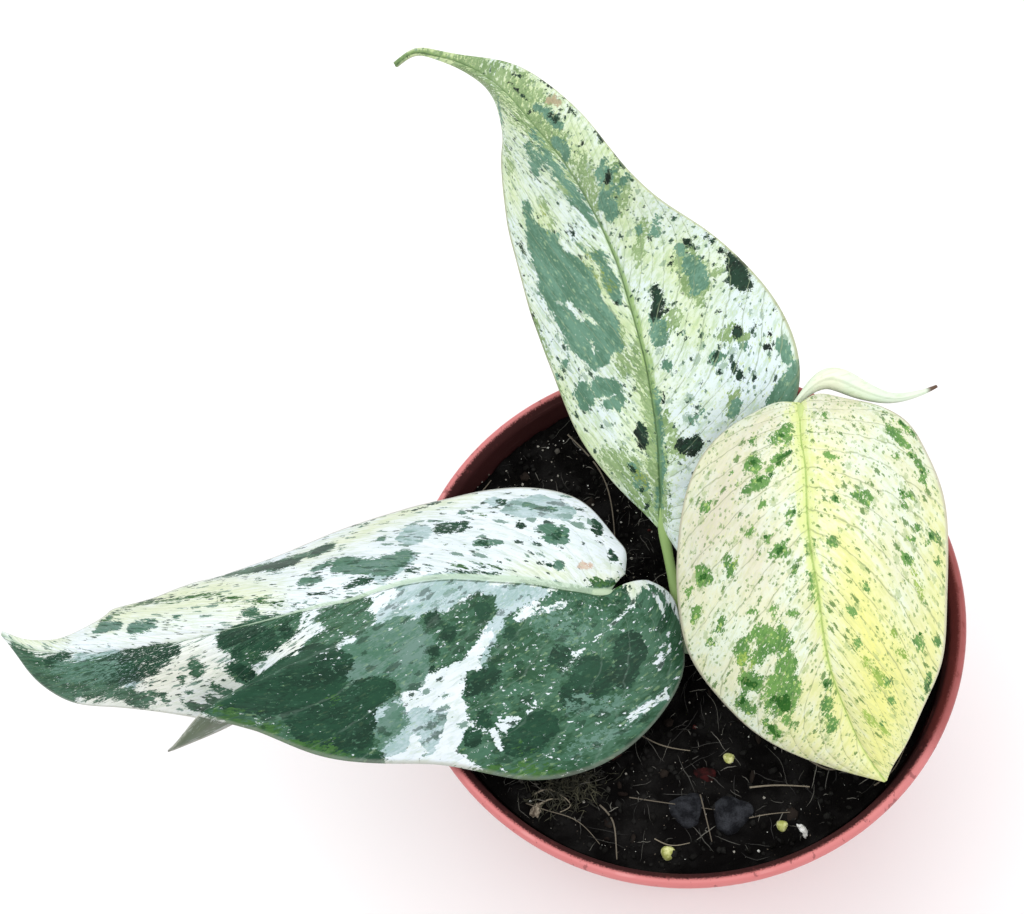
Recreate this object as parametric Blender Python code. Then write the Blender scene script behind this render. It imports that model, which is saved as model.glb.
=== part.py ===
"""Potted satin scindapsus: a rooted cutting with three open leaves and a furled one, in a nursery pot.

The origin is the middle of the pot's flat base and +Z is up. The leaf tables and the routes of
the stem and the stalks are in millimetres in that frame, and everything else is in metres.
"""
import math

import bpy
import numpy as np
from mathutils import Matrix

MM = 0.001
GAP = 0.0003

# Pot: a 12 cm nursery pot
RIM_RADIUS = 0.060
POT_HEIGHT = 0.100
BASE_RADIUS = 0.0425
BODY_TOP_RADIUS = 0.0560
COLLAR_HEIGHT = 0.012
COLLAR_STEP = 0.0020
LIP_WIDTH = 0.0021
LIP_HEIGHT = 0.0024
WALL = 0.0015
FLOOR = 0.0018
EASE = 0.0004
COLLAR_FLARE = 0.0005
POT_SIDES = 52
DRAIN_HOLES = 8
DRAIN_RADIUS = 0.0040
DRAIN_CIRCLE = 0.030

# Soil
SOIL_LEVEL = 0.0920
SOIL_RINGS = 9
SOIL_RING_CROWDING = 0.9
SOIL_LUMPS = 60
LUMP_HEIGHT = 0.0024
LUMP_REACH = (0.003, 0.009)
SOIL_SEED = 11

# Leaves
BLADE = 0.0007
MIDRIB_DEPTH = 0.0016
MIDRIB_REACH = 0.0013
RIB_START = 12.0
RIB_SAMPLES = 40
COLUMN_CROWDING = 1.15
BROAD = 25.0
BROADEST = 1.2
PLEAT_GROWTH = 1.8
CUSP_GROWTH = 5.0
PLEAT_SLANT = 2.5
NARROW = 0.009
CALM_REACH = 0.005

# Stem and stalks, in millimetres: a route and a radius at each of its points. A grid is a count
# of steps along the route and of sides around it.
STEM_ROUTE = ((2.1, -12.8, 64), (2.7, -12.4, 72), (4.3, -11.2, 92), (5.5, -10.4, 97),
              (6.6, -10, 102), (7.9, -10, 108))
STEM_RADIUS = 2.0
STEM_NODES = (95.5, 99.5, 103.5)
NODE_SWELL = 0.6
NODE_REACH = 1.2
STEM_GRID = (34, 10)
STALK_GRID = (26, 8)
END_BULGE = 0.4

LEFT_STALK = ((5.3, -10.5, 95.5), (1.5, -10.9, 96), (-3.7, -8.4, 98), (-8.2, -4, 102),
              (-11.8, 0, 106.5), (-14, 1.3, 109), (-17.4, 2.1, 110.7))
LEFT_STALK_RADII = (1.7, 1.5, 1.25, 1.2, 1.2, 1.3, 0.9)
UPPER_STALK = ((6.2, -10.1, 99.5), (3.6, -8.8, 99.9), (1, -6.3, 101), (-0.2, -2.7, 102.8),
               (0.1, 2.1, 105), (0.6, 7, 108.4), (1.2, 11.9, 111.5), (1.8, 15.3, 113.3))
UPPER_STALK_RADII = (1.7, 1.5, 1.25, 1.1, 1.1, 1.1, 1.2, 0.8)
RIGHT_STALK = ((7.1, -10, 103.5), (9.9, -7.4, 105.6), (15.4, -1.3, 110), (21.9, 6.2, 116),
               (28.1, 13.3, 123), (32, 18.1, 129.5), (32.9, 18.7, 131.9), (31.7, 15.7, 133.6))
RIGHT_STALK_RADII = (1.7, 1.5, 1.25, 1.2, 1.2, 1.2, 1.3, 0.9)

# Leaf blades, in millimetres: each row is one lateral vein's foot on the midrib, its end on the
# left margin and its end on the right margin, seen from above by one who looks from base to tip
UPPER_LEAF = (
    ((1.1, 11.9, 112), (0, 11.9, 111.6), (1.1, 10.8, 111.5)),
    ((1.5, 13.8, 113.2), (-2.2, 16.8, 112.2), (2.7, 6.1, 109.8)),
    ((2.5, 16.5, 114.7), (-5.2, 22.5, 113.1), (5.3, 2.2, 109.1)),
    ((3.3, 19.5, 117.6), (-8, 28.2, 115.3), (11.5, 4, 110.2)),
    ((4.5, 23.7, 120.8), (-10.4, 35.7, 117.6), (19.8, 10.4, 113.8)),
    ((5.8, 29.7, 124.5), (-11.5, 45.8, 120.5), (28.6, 19.6, 118.8)),
    ((6.8, 36.7, 128.8), (-12.1, 57.9, 123.8), (36, 27.5, 125.8)),
    ((7.3, 44.1, 133.7), (-12, 69.5, 126.7), (36.3, 42.9, 134.7)),
    ((7.5, 52.8, 137.5), (-11.6, 79.9, 129.5), (31.7, 49.9, 141.5)),
    ((7.3, 61.6, 141), (-10.7, 89.6, 133), (25.3, 57.2, 147.5)),
    ((6.1, 71.2, 144), (-8.8, 99.6, 136.5), (18.3, 63.8, 152)),
    ((4.3, 80, 146.5), (-7.5, 103.4, 138.5), (14, 71.8, 154.5)),
    ((1.5, 92.3, 146.3), (-6.6, 111.5, 139.3), (10.6, 87.8, 152.8)),
    ((-2, 105.2, 145.7), (-6.9, 119, 139.2), (5.9, 104.7, 149.2)),
    ((-5.6, 117.7, 143), (-9.2, 125.4, 138.5), (-1.1, 119.8, 145)),
    ((-10.7, 130.1, 139), (-12.6, 132, 136.7), (-9.1, 130.6, 140.2)),
    ((-16.6, 140.7, 134.2), (-17.3, 140.6, 133.3), (-15.8, 141.1, 135)),
    ((-21.7, 147.6, 129.8), (-21.9, 146.8, 129.4), (-21.4, 148.3, 130.2)),
    ((-26, 149.4, 126), (-25.9, 148.9, 125.6), (-26.2, 149.9, 126.4)),
)
LEFT_LEAF = (
    ((-13.5, 2, 109), (-5.3, 2.3, 108), (-9.5, 5, 108.6)),
    ((-14.6, 1.6, 109.6), (-1.9, -1.5, 107.2), (-8.1, 8.9, 108.6)),
    ((-15.6, 1.5, 110.1), (-1.8, -9.7, 106.5), (-9, 13.1, 108.5)),
    ((-17.4, 1.8, 111), (-4, -17.7, 104.5), (-12.6, 22.3, 107.5)),
    ((-19.8, 2.8, 112.5), (-12.5, -25.4, 102.5), (-19.7, 29.8, 106.5)),
    ((-23.4, 4, 114.5), (-24.8, -30.3, 101.5), (-30.1, 34.1, 106)),
    ((-28.9, 6, 117), (-40.5, -29.3, 101.5), (-42.5, 35.6, 106)),
    ((-36.4, 7.9, 119.5), (-55.4, -22.6, 103), (-55.3, 36.1, 106)),
    ((-44.5, 10, 121.5), (-68.3, -18.7, 104.5), (-68.7, 35.6, 106)),
    ((-53.3, 11.2, 122), (-81.6, -13.2, 106), (-80.6, 33.7, 106.5)),
    ((-61, 11.3, 121.5), (-92.7, -5.1, 107.5), (-90.8, 32.5, 107)),
    ((-66.6, 11.4, 121), (-99.2, -0.9, 106.5), (-96.7, 32.1, 107)),
    ((-70.2, 12.1, 120.5), (-102, 0.7, 105), (-99.9, 32.2, 107)),
    ((-73.3, 12.3, 120.3), (-105.9, 2.9, 103), (-103.6, 31.9, 107.5)),
    ((-76.4, 12.7, 119.8), (-108.9, 4.6, 102), (-106.5, 31.7, 107.5)),
    ((-80, 13.1, 119), (-112.3, 6.7, 101), (-109.5, 31.4, 107.5)),
    ((-91.1, 14.4, 117), (-123.5, 11.4, 101.5), (-118.5, 31.1, 108.5)),
    ((-107.7, 16.7, 114), (-133.6, 15.5, 103), (-122.9, 29.8, 108.5)),
    ((-120, 19.7, 112), (-139, 20.8, 106), (-130.3, 27.5, 109.5)),
    ((-130.1, 22.7, 111), (-141.2, 25.1, 109), (-134.8, 27.4, 110.5)),
    ((-137.9, 26.3, 111.3), (-142.5, 28.3, 111.2), (-139.2, 28.7, 112)),
    ((-143.2, 30.6, 113), (-143.4, 30.3, 112.6), (-142.8, 31, 113.4)),
)
# Where the left leaf's front half doubles over itself: how far the left margin leaves the outline
# above at places counted in rows, from a crest down to a valley, and how far the margin is drawn
# out to a cusp between the two
LEFT_PLEAT = ((10, (0, 0, 0)), (11, (-4.2, 1.4, 4)), (13, (7.7, -2.2, -1)), (14, (7.8, -2.6, -4.4)),
              (16, (0, 0, 0)))
LEFT_CUSP = ((11.15, (0, 0, 0)), (12.1, (-13.6, -3, -1.5)), (13, (0, 0, 0)))
RIGHT_LEAF = (
    ((33.2, 19.7, 132.4), (34.5, 20.4, 131.6), (32.5, 20.6, 131.6)),
    ((32.3, 17.8, 133.2), (37.1, 21.5, 131.2), (30.2, 21.9, 131.2)),
    ((31, 14.5, 134.4), (41.6, 19.5, 130.8), (26.3, 22.2, 130.4)),
    ((29.6, 10.2, 135.2), (47.3, 16.7, 130), (19.5, 21, 128.8)),
    ((28.5, 5.3, 135.6), (52.1, 12, 128.8), (12.8, 18.1, 126.4)),
    ((26.7, -0.3, 135.6), (53.9, 5.4, 126.8), (7, 12.4, 123.6)),
    ((24.9, -6, 134.8), (54.1, -3.4, 124.4), (2.8, 4.9, 120.8)),
    ((23.5, -12.1, 133.2), (51.5, -13.5, 121.2), (-0.4, -3.3, 117.6)),
    ((22.4, -18.8, 130.8), (47.6, -23.6, 116.8), (-2.2, -11.6, 114.8)),
    ((21.5, -24.6, 126.8), (43.5, -32.7, 112.8), (-2, -19.6, 112.4)),
    ((21.1, -30.5, 122), (38.8, -38.2, 109.6), (1.2, -27.7, 110)),
    ((22.1, -36.3, 115.6), (33.7, -43.5, 106.8), (6.3, -35.5, 107.6)),
    ((23.9, -42.9, 108.4), (29.6, -46.8, 104), (14.8, -42.5, 104.8)),
    ((26.9, -49.2, 102), (27.3, -49.1, 101.8), (26.5, -49.3, 101.8)),
)

# Furled young leaf, in millimetres
YOUNG_ROUTE = ((7.8, -10, 107.3), (8.7, -7.2, 110.4), (13, 0.8, 115), (20.6, 9.9, 120.6),
               (29.3, 18.9, 126), (36.4, 23.7, 129.7), (40.9, 24.2, 131), (45, 21.1, 130.6),
               (48.4, 18.6, 129.6), (51.7, 17.4, 128.4), (55.6, 17.1, 127.6), (59.2, 17.3, 127.3),
               (61.5, 17.5, 127.6))
YOUNG_RADII = (1.3, 1.2, 1.1, 1.0, 1.0, 1.4, 2.4, 2.3, 1.8, 1.3, 0.8, 0.5, 0.35)
YOUNG_OVERLAP = 0.16
YOUNG_FURL_START = 4.6
YOUNG_FURL = (0.42, 0.54)
YOUNG_GRID = (44, 14)

# Loose pieces half sunk in the soil: place on its surface and half sizes, in millimetres
STONES = (((-11.3, -42), (3.9, 3.2, 2.4), 0.4), ((-2.9, -45.5), (3.6, 3.9, 2.6), 1.9))
BARK_CHIP = ((-5.6, -36.2), (3.0, 2.0, 1.2), 2.5)
BEADS = (((0.3, -34.3), 1.3), ((-17.6, -49), 1.5), ((6, -50.2), 1.2))
PERLITE_CHIP = ((9.6, -52.2), (1.1, 1.8, 1.2), 0.5)
LUMP_GRID = (6, 10)


def plain_material(name, colour, roughness):
    """Principled material with one colour."""
    material = bpy.data.materials.new(name)
    material.use_nodes = True
    shader = material.node_tree.nodes["Principled BSDF"]
    shader.inputs["Base Color"].default_value = (*colour, 1.0)
    shader.inputs["Roughness"].default_value = roughness
    material.diffuse_color = (*colour, 1.0)
    return material


def solid(name, points, faces, sharp_above=40.0):
    """Object from points in metres and outward faces, shaded smooth except over sharp edges."""
    mesh = bpy.data.meshes.new(name)
    mesh.from_pydata([tuple(map(float, point)) for point in points], [], faces)
    mesh.shade_smooth()
    mesh.set_sharp_from_angle(angle=math.radians(sharp_above))
    piece = bpy.data.objects.new(name, mesh)
    bpy.context.collection.objects.link(piece)
    return piece


def boolean(target, others, operation):
    """Unite the target with the others, or cut them out of it, and remove them."""
    for other in others:
        modifier = target.modifiers.new(operation.lower(), "BOOLEAN")
        modifier.operation = operation
        modifier.solver = "EXACT"
        modifier.object = other
    bpy.context.view_layer.update()
    depsgraph = bpy.context.evaluated_depsgraph_get()
    result = bpy.data.meshes.new_from_object(target.evaluated_get(depsgraph))
    target.modifiers.clear()
    target.data = result
    for other in others:
        bpy.data.objects.remove(other, do_unlink=True)


def spline(knots, values, places):
    """Natural cubic spline through values given at knots, read at the places."""
    count = len(knots)
    step = np.diff(knots)[:, None]
    slope = np.diff(values, axis=0) / step
    system = np.eye(count)
    right = np.zeros_like(values)
    for i in range(1, count - 1):
        system[i, i - 1:i + 2] = step[i - 1, 0], 2 * (step[i - 1, 0] + step[i, 0]), step[i, 0]
        right[i] = 6 * (slope[i] - slope[i - 1])
    bend = np.linalg.solve(system, right)
    k = np.clip(np.searchsorted(knots, places, side="right") - 1, 0, count - 2)
    after = ((places - knots[k]) / step[k, 0])[:, None]
    before = 1 - after
    lift = (before ** 3 - before) * bend[k] + (after ** 3 - after) * bend[k + 1]
    return before * values[k] + after * values[k + 1] + lift * step[k] ** 2 / 6


def along(route, columns, steps):
    """Read a route and columns of numbers given at its points evenly along its length."""
    route = np.asarray(route, float)
    knots = np.r_[0.0, np.cumsum(np.linalg.norm(np.diff(route, axis=0), axis=1))]
    data = np.column_stack([route, np.asarray(columns, float)])
    data = spline(knots, data, np.linspace(0.0, knots[-1], steps))
    return data[:, :3] * MM, data[:, 3:]


def frames(path):
    """Two unit vectors square to the path at each point, carried along without twist."""
    tangent = np.gradient(path, axis=0)
    tangent /= np.linalg.norm(tangent, axis=1, keepdims=True)
    side = np.zeros_like(path)
    start = np.cross(tangent[0], (0.0, 0.0, 1.0))
    if np.linalg.norm(start) < 0.2:
        start = np.cross(tangent[0], (0.0, 1.0, 0.0))
    side[0] = start / np.linalg.norm(start)
    for i in range(1, len(path)):
        flat = side[i - 1] - tangent[i] * (side[i - 1] @ tangent[i])
        side[i] = flat / np.linalg.norm(flat)
    return side, np.cross(tangent, side)


def ring_faces(rings, sides):
    """Faces between rings of a closed tube whose two ends are single points."""
    faces = []
    for i in range(rings - 1):
        for j in range(sides):
            a, b = i * sides + j, i * sides + (j + 1) % sides
            faces.append((a, b, b + sides, a + sides))
    first, last = rings * sides, rings * sides + 1
    top = (rings - 1) * sides
    for j in range(sides):
        faces.append((first, (j + 1) % sides, j))
        faces.append((last, top + j, top + (j + 1) % sides))
    return faces


def tube(name, route, radii, grid, outline=None):
    """Closed tube along a route in millimetres, with a radius in millimetres at each point.

    The outline gives the section as a factor on the radius at each angle and place.
    """
    steps, sides = grid
    path, column = along(route, radii, steps)
    side, up = frames(path)
    angle = np.linspace(0.0, 2 * math.pi, sides, endpoint=False)
    factor = np.ones((steps, sides)) if outline is None else outline(np.linspace(0, 1, steps), angle)
    radius = column[:, :1] * MM * factor
    ring = side[:, None] * np.cos(angle)[:, None] + up[:, None] * np.sin(angle)[:, None]
    points = path[:, None] + ring * radius[:, :, None]
    ends = path[[0, -1]]
    first, last = path[0] - path[1], path[-1] - path[-2]
    ends[0] += first / np.linalg.norm(first) * radius[0].mean() * END_BULGE
    ends[1] += last / np.linalg.norm(last) * radius[-1].mean() * END_BULGE
    return solid(name, np.concatenate([points.reshape(-1, 3), ends]), ring_faces(steps, sides))


def lathe(name, profile, sides):
    """Closed solid turned about Z from a profile that starts and ends on the axis."""
    profile = np.asarray(profile, float)
    angle = np.linspace(0.0, 2 * math.pi, sides, endpoint=False)
    turned = np.stack([np.outer(profile[1:-1, 0], np.cos(angle)),
                       np.outer(profile[1:-1, 0], np.sin(angle)),
                       np.repeat(profile[1:-1, 1:], sides, axis=1)], axis=-1)
    ends = [(0.0, 0.0, profile[0, 1]), (0.0, 0.0, profile[-1, 1])]
    points = np.concatenate([turned.reshape(-1, 3), ends])
    return solid(name, points, ring_faces(len(profile) - 2, sides), sharp_above=32.0)


def inner_radius(height):
    """Radius of the pot's inner wall at a height, below the lip."""
    step = POT_HEIGHT - COLLAR_HEIGHT
    heights = (FLOOR, step - EASE, step + WALL, POT_HEIGHT - LIP_HEIGHT)
    collar = BODY_TOP_RADIUS + COLLAR_STEP
    return np.interp(height, heights, (BASE_RADIUS - WALL, BODY_TOP_RADIUS - WALL, collar - WALL,
                                       collar - WALL + COLLAR_FLARE))


def make_pot():
    """Thin-walled tapering pot with a stepped collar, a rounded lip and holes in its floor."""
    step = POT_HEIGHT - COLLAR_HEIGHT
    lip = POT_HEIGHT - LIP_HEIGHT
    collar = BODY_TOP_RADIUS + COLLAR_STEP
    lip_inside = RIM_RADIUS - LIP_WIDTH
    profile = [
        (0, 0), (BASE_RADIUS - 2 * EASE, 0), (BASE_RADIUS, 2 * EASE),
        (BODY_TOP_RADIUS, step - EASE), (collar, step),
        (collar + COLLAR_FLARE, lip - EASE), (RIM_RADIUS - EASE, lip), (RIM_RADIUS, lip + 2 * EASE),
        (RIM_RADIUS, POT_HEIGHT - 2 * EASE), (RIM_RADIUS - 1.5 * EASE, POT_HEIGHT - EASE / 4),
        (RIM_RADIUS - LIP_WIDTH / 2, POT_HEIGHT), (lip_inside + 1.5 * EASE, POT_HEIGHT - EASE / 4),
        (lip_inside, POT_HEIGHT - 2 * EASE), (inner_radius(lip), lip),
        (inner_radius(step + WALL), step + WALL), (inner_radius(step - EASE), step - EASE),
        (inner_radius(FLOOR + 2 * EASE), FLOOR + 2 * EASE), (inner_radius(FLOOR) - 2 * EASE, FLOOR),
        (0, FLOOR),
    ]
    pot = lathe("pot", profile, POT_SIDES)
    drills = []
    for k in range(DRAIN_HOLES):
        turn = 2 * math.pi * (k + 0.5) / DRAIN_HOLES
        drill = lathe("drill", [(0, -0.004), (DRAIN_RADIUS, -0.004), (DRAIN_RADIUS, 0.004), (0, 0.004)], 16)
        place = (DRAIN_CIRCLE * math.cos(turn), DRAIN_CIRCLE * math.sin(turn), FLOOR / 2)
        drill.data.transform(Matrix.Translation(place))
        drills.append(drill)
    boolean(pot, drills, "DIFFERENCE")
    paint(pot, "salmon plastic", (0.72, 0.17, 0.15), 0.42)


def relief(x, y):
    """Height of the soil's top over its level: seeded soft lumps and hollows."""
    draw = np.random.default_rng(SOIL_SEED)
    height = np.zeros_like(x)
    for _ in range(SOIL_LUMPS):
        turn, out = draw.uniform(0, 2 * math.pi), RIM_RADIUS * math.sqrt(draw.uniform(0, 1))
        reach, lift = draw.uniform(*LUMP_REACH), draw.uniform(-0.8, 1.0) * LUMP_HEIGHT
        away = (x - out * math.cos(turn)) ** 2 + (y - out * math.sin(turn)) ** 2
        height += lift * np.exp(-away / reach ** 2)
    return height


def ring(radius, level):
    """Points of one level ring with as many sides as the pot."""
    angle = np.linspace(0.0, 2 * math.pi, POT_SIDES, endpoint=False)
    return np.column_stack([radius * np.cos(angle), radius * np.sin(angle), np.full(POT_SIDES, level)])


def make_soil():
    """Body of soil that fills the pot up to an uneven top."""
    step = POT_HEIGHT - COLLAR_HEIGHT
    rings = [ring(inner_radius(FLOOR) - 3 * EASE, FLOOR + GAP),
             ring(inner_radius(FLOOR + 3 * EASE) - GAP, FLOOR + 3 * EASE),
             ring(inner_radius(step - EASE) - GAP, step - EASE + GAP / 2),
             ring(inner_radius(step + WALL) - GAP, step + WALL + GAP)]
    edge = inner_radius(SOIL_LEVEL) - 2 * GAP
    for k in range(SOIL_RINGS):
        top = ring(edge * (1 - k / SOIL_RINGS) ** SOIL_RING_CROWDING, SOIL_LEVEL)
        top[:, 2] += relief(top[:, 0], top[:, 1])
        rings.append(top)
    middle = SOIL_LEVEL + relief(np.zeros(1), np.zeros(1))[0]
    points = np.concatenate(rings + [[(0.0, 0.0, FLOOR + GAP), (0.0, 0.0, middle)]])
    return solid("soil", points, ring_faces(len(rings), POT_SIDES))


def stem_radii(route, margin=0.0):
    """Radius of the stem at points of its route, swollen at each node."""
    height = np.asarray(route, float)[:, 2]
    swell = sum(np.exp(-((height - node) / NODE_REACH) ** 2) for node in STEM_NODES)
    return STEM_RADIUS + NODE_SWELL * swell + margin / MM


def make_stem(name, margin=0.0):
    """Rooted vine stem with a swollen ring at each node; with a margin, a cutter for what meets it."""
    path, _ = along(STEM_ROUTE, np.zeros((len(STEM_ROUTE), 1)), STEM_GRID[0])
    route = path / MM
    route[0, 2] -= 2 * margin / MM
    route[-1, 2] += margin / MM
    return tube(name, route, stem_radii(route, margin)[:, None], STEM_GRID)


def sink(name, place, half, turn, soil_top):
    """Rounded lump half sunk in the soil, and the slightly larger lump that makes its dimple."""
    x, y = place[0] * MM, place[1] * MM
    rings, sides = LUMP_GRID
    rise = np.linspace(-math.pi / 2, math.pi / 2, rings + 2)[1:-1]
    angle = np.linspace(0.0, 2 * math.pi, sides, endpoint=False)
    lump = 1 + 0.12 * np.sin(3 * angle + 1.3)[None, :] * np.cos(rise)[:, None]
    unit = np.stack([np.outer(np.cos(rise), np.cos(angle)) * lump,
                     np.outer(np.cos(rise), np.sin(angle)) * lump,
                     np.repeat(np.sin(rise)[:, None], sides, axis=1)], axis=-1).reshape(-1, 3)
    unit = np.concatenate([unit, [(0, 0, -1), (0, 0, 1)]])
    pieces = []
    for margin in (0.0, GAP):
        size = np.asarray(half, float) * MM + margin
        points = unit * size
        turned = np.column_stack([points[:, 0] * math.cos(turn) - points[:, 1] * math.sin(turn),
                                  points[:, 0] * math.sin(turn) + points[:, 1] * math.cos(turn),
                                  points[:, 2]])
        points = turned + (x, y, soil_top(x, y))
        pieces.append(solid(name, points, ring_faces(rings, sides)))
    return pieces


def eased(moves, place):
    """Offsets given at some places, eased from each to the next, with none before or after them."""
    if not moves:
        return np.zeros((len(place), 3))
    given = np.array([where for where, _ in moves], float)
    offset = np.array([move for _, move in moves], float)
    k = np.clip(np.searchsorted(given, place, side="right") - 1, 0, len(given) - 2)
    part = np.clip((place - given[k]) / (given[k + 1] - given[k]), 0.0, 1.0)[:, None]
    part = part * part * (3 - 2 * part)
    return offset[k] * (1 - part) + offset[k + 1] * part


def rib_curves(ribs, pleat, steps):
    """Midrib, left margin and right margin at places, counted in rows, evenly spaced along the leaf.

    The places are even along whichever of the three curves moves most, so a pleat gets more rows.
    """
    rows = len(ribs)
    chord = np.linalg.norm(np.diff(ribs, axis=0), axis=2).max(axis=1)
    knots = np.r_[0.0, np.cumsum(chord)]

    def read(place):
        return spline(knots, ribs.reshape(rows, 9), np.interp(place, np.arange(rows), knots))

    fine = np.linspace(0, rows - 1, RIB_SAMPLES * rows)
    curves = read(fine).reshape(-1, 3, 3)
    curves[:, 1] += eased(pleat[0], fine) + eased(pleat[1], fine)
    travel = np.linalg.norm(np.diff(curves, axis=0), axis=2).max(axis=1)
    travel = np.r_[0.0, np.cumsum(travel)]
    place = np.interp(np.linspace(0.0, travel[-1], steps), travel, fine)
    return place, read(place).reshape(-1, 3, 3).transpose(1, 0, 2)


def blade_surface(ribs, steps, half_columns, crown, wave, pleat=((), ())):
    """Middle surface of a leaf blade as a grid of points, and each point's distance from the midrib.

    Three smooth curves, the midrib and the two margins, share one parameter, so a row of the grid
    follows a lateral vein from the left margin over the midrib to the right margin. Each half
    arches up by the crown between midrib and margin, and the margin waves a little. The pleat and
    its cusp move the left half's points by their offset times the way out to a power, and the
    pleat slants: nearer the midrib it lies nearer the base.
    """
    place, (midrib, left, right) = rib_curves(np.asarray(ribs, float), pleat, steps)
    out = np.linspace(0.0, 1.0, half_columns + 1) ** COLUMN_CROWDING
    out = np.concatenate([-out[:0:-1], out])
    way = np.abs(out)[None, :, None]
    margin = np.where((out < 0)[None, :, None], left[:, None], right[:, None])
    flat = midrib[:, None] * (1 - way) + margin * way
    reach = steps // 8
    ahead = np.pad(midrib, ((0, reach), (0, 0)), mode="edge")[reach:]
    behind = np.pad(midrib, ((reach, 0), (0, 0)), mode="edge")[:steps]
    up = np.cross(right - left, ahead - behind)
    up /= np.linalg.norm(up, axis=1, keepdims=True)
    width = np.linalg.norm(margin - midrib[:, None], axis=2, keepdims=True)
    broad = np.clip(width / BROAD, 0.0, BROADEST)
    ripple = np.sin(np.linspace(0, 1, steps) * 2 * math.pi * wave[1])[:, None, None]
    rise = crown * 4 * way * (1 - way) + wave[0] * ripple * way ** 3 * np.sign(out)[None, :, None]
    slant = (place[:, None] + PLEAT_SLANT * (1 - np.abs(out)[None, :])).ravel()
    folded = eased(pleat[0], slant).reshape(flat.shape)
    drawn = eased(pleat[1], place)[:, None]
    fold = folded * way ** PLEAT_GROWTH + drawn * way ** CUSP_GROWTH
    fold = np.where((out < 0)[None, :, None], fold, 0.0)
    top = flat + up[:, None] * rise * broad + fold
    return top * MM, way[..., 0] * width[..., 0] * MM


def calm(top, normal):
    """Unit normals of a blade, made alike across its narrow rows and round its base and its tip."""
    normal = normal / np.linalg.norm(normal, axis=2, keepdims=True)
    width = np.linalg.norm(top[:, -1] - top[:, 0], axis=1)[:, None, None]
    narrow = np.exp(-(width / NARROW) ** 2)
    normal = normal * (1 - narrow) + normal.mean(axis=1, keepdims=True) * narrow
    middle = top.shape[1] // 2
    for row, ends in ((0, slice(0, 6)), (-1, slice(-6, None))):
        near = np.clip(1.6 - np.linalg.norm(top - top[row, middle], axis=2) / CALM_REACH, 0, 1)[..., None]
        normal = normal * (1 - near) + normal[ends, middle].mean(axis=0) * near
    return normal / np.linalg.norm(normal, axis=2, keepdims=True)


def thick_blade(name, ribs, steps, half_columns, crown, wave, pleat=((), ())):
    """Closed blade: two faces half a thickness off its middle surface, and a raised midrib below."""
    middle, from_midrib = blade_surface(ribs, steps, half_columns, crown, wave, pleat)
    columns = 2 * half_columns + 1
    normal = calm(middle, np.cross(np.gradient(middle, axis=1), np.gradient(middle, axis=0)))
    place = np.linspace(0, 1, steps)
    fade = np.clip(place * RIB_START, 0, 1) ** 2 * (1 - place) ** 0.8
    rib = MIDRIB_DEPTH * fade[:, None] * np.exp(-(from_midrib / MIDRIB_REACH) ** 2)
    top = middle + normal * BLADE / 2
    bottom = middle - normal * (BLADE / 2 + rib)[..., None]
    points = np.concatenate([top.reshape(-1, 3), bottom.reshape(-1, 3)])
    below = steps * columns
    faces = []
    for i in range(steps - 1):
        for j in range(columns - 1):
            a, b = i * columns + j, i * columns + j + 1
            c, d = b + columns, a + columns
            faces += [(a, b, c), (a, c, d)]
            faces += [(below + a, below + c, below + b), (below + a, below + d, below + c)]
    edge = list(range(columns))
    edge += [i * columns + columns - 1 for i in range(1, steps)]
    edge += [(steps - 1) * columns + j for j in range(columns - 2, -1, -1)]
    edge += [i * columns for i in range(steps - 2, 0, -1)]
    for a, b in zip(edge, edge[1:] + edge[:1]):
        faces += [(b, a, below + a), (b, below + a, below + b)]
    return solid(name, points, faces)


def make_leaf(name, ribs, grid, crown, wave, stalk, finish, pleat=((), ())):
    """Leaf with its stalk grown into the midrib and its foot cut clear of the stem."""
    leaf = thick_blade(name, ribs, grid[0], grid[1], crown, wave, pleat)
    route, radii = stalk
    petiole = tube("petiole", route, np.asarray(radii)[:, None], STALK_GRID)
    boolean(leaf, [petiole], "UNION")
    boolean(leaf, [make_stem("stem room", GAP)], "DIFFERENCE")
    paint(leaf, *finish)


def furl(place, angle):
    """Section of a rolled blade: a spiral whose outer edge stands out as one step along the roll."""
    turn = ((angle - YOUNG_FURL_START) % (2 * math.pi)) / (2 * math.pi)
    grown = np.interp(place, YOUNG_FURL, (0.0, 1.0))[:, None]
    return 1.0 - YOUNG_OVERLAP * grown * (1 - turn)[None, :]


def make_young_leaf():
    """Furled young leaf on its stalk, with a hooked tail, standing on the end of the stem."""
    radii = np.asarray(YOUNG_RADII)[:, None]
    leaf = tube("young_leaf", YOUNG_ROUTE, radii, YOUNG_GRID, furl)
    boolean(leaf, [make_stem("stem room", GAP)], "DIFFERENCE")
    paint(leaf, "furled leaf", (0.66, 0.78, 0.58), 0.45)


def make_loose_pieces(soil):
    """Stones, bark, fertiliser beads and perlite, each half sunk in a dimple of the soil."""
    def soil_top(x, y):
        return SOIL_LEVEL + relief(np.array([x]), np.array([y]))[0]

    stone = ("stone", (0.085, 0.10, 0.12), 0.7)
    bark = ("bark", (0.10, 0.018, 0.016), 0.85)
    bead = ("bead", (0.60, 0.62, 0.25), 0.4)
    perlite = ("perlite", (0.85, 0.85, 0.80), 0.9)
    wanted = [("stone_%d" % (i + 1), *lump, stone) for i, lump in enumerate(STONES)]
    wanted.append(("bark_chip", *BARK_CHIP, bark))
    for i, (place, radius) in enumerate(BEADS):
        wanted.append(("fertiliser_bead_%d" % (i + 1), place, (radius,) * 3, 0.0, bead))
    wanted.append(("perlite_chip", *PERLITE_CHIP, perlite))
    for name, place, half, turn, finish in wanted:
        piece, dimple = sink(name, place, half, turn, soil_top)
        piece.name = name
        paint(piece, *finish)
        boolean(soil, [dimple], "DIFFERENCE")


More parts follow.
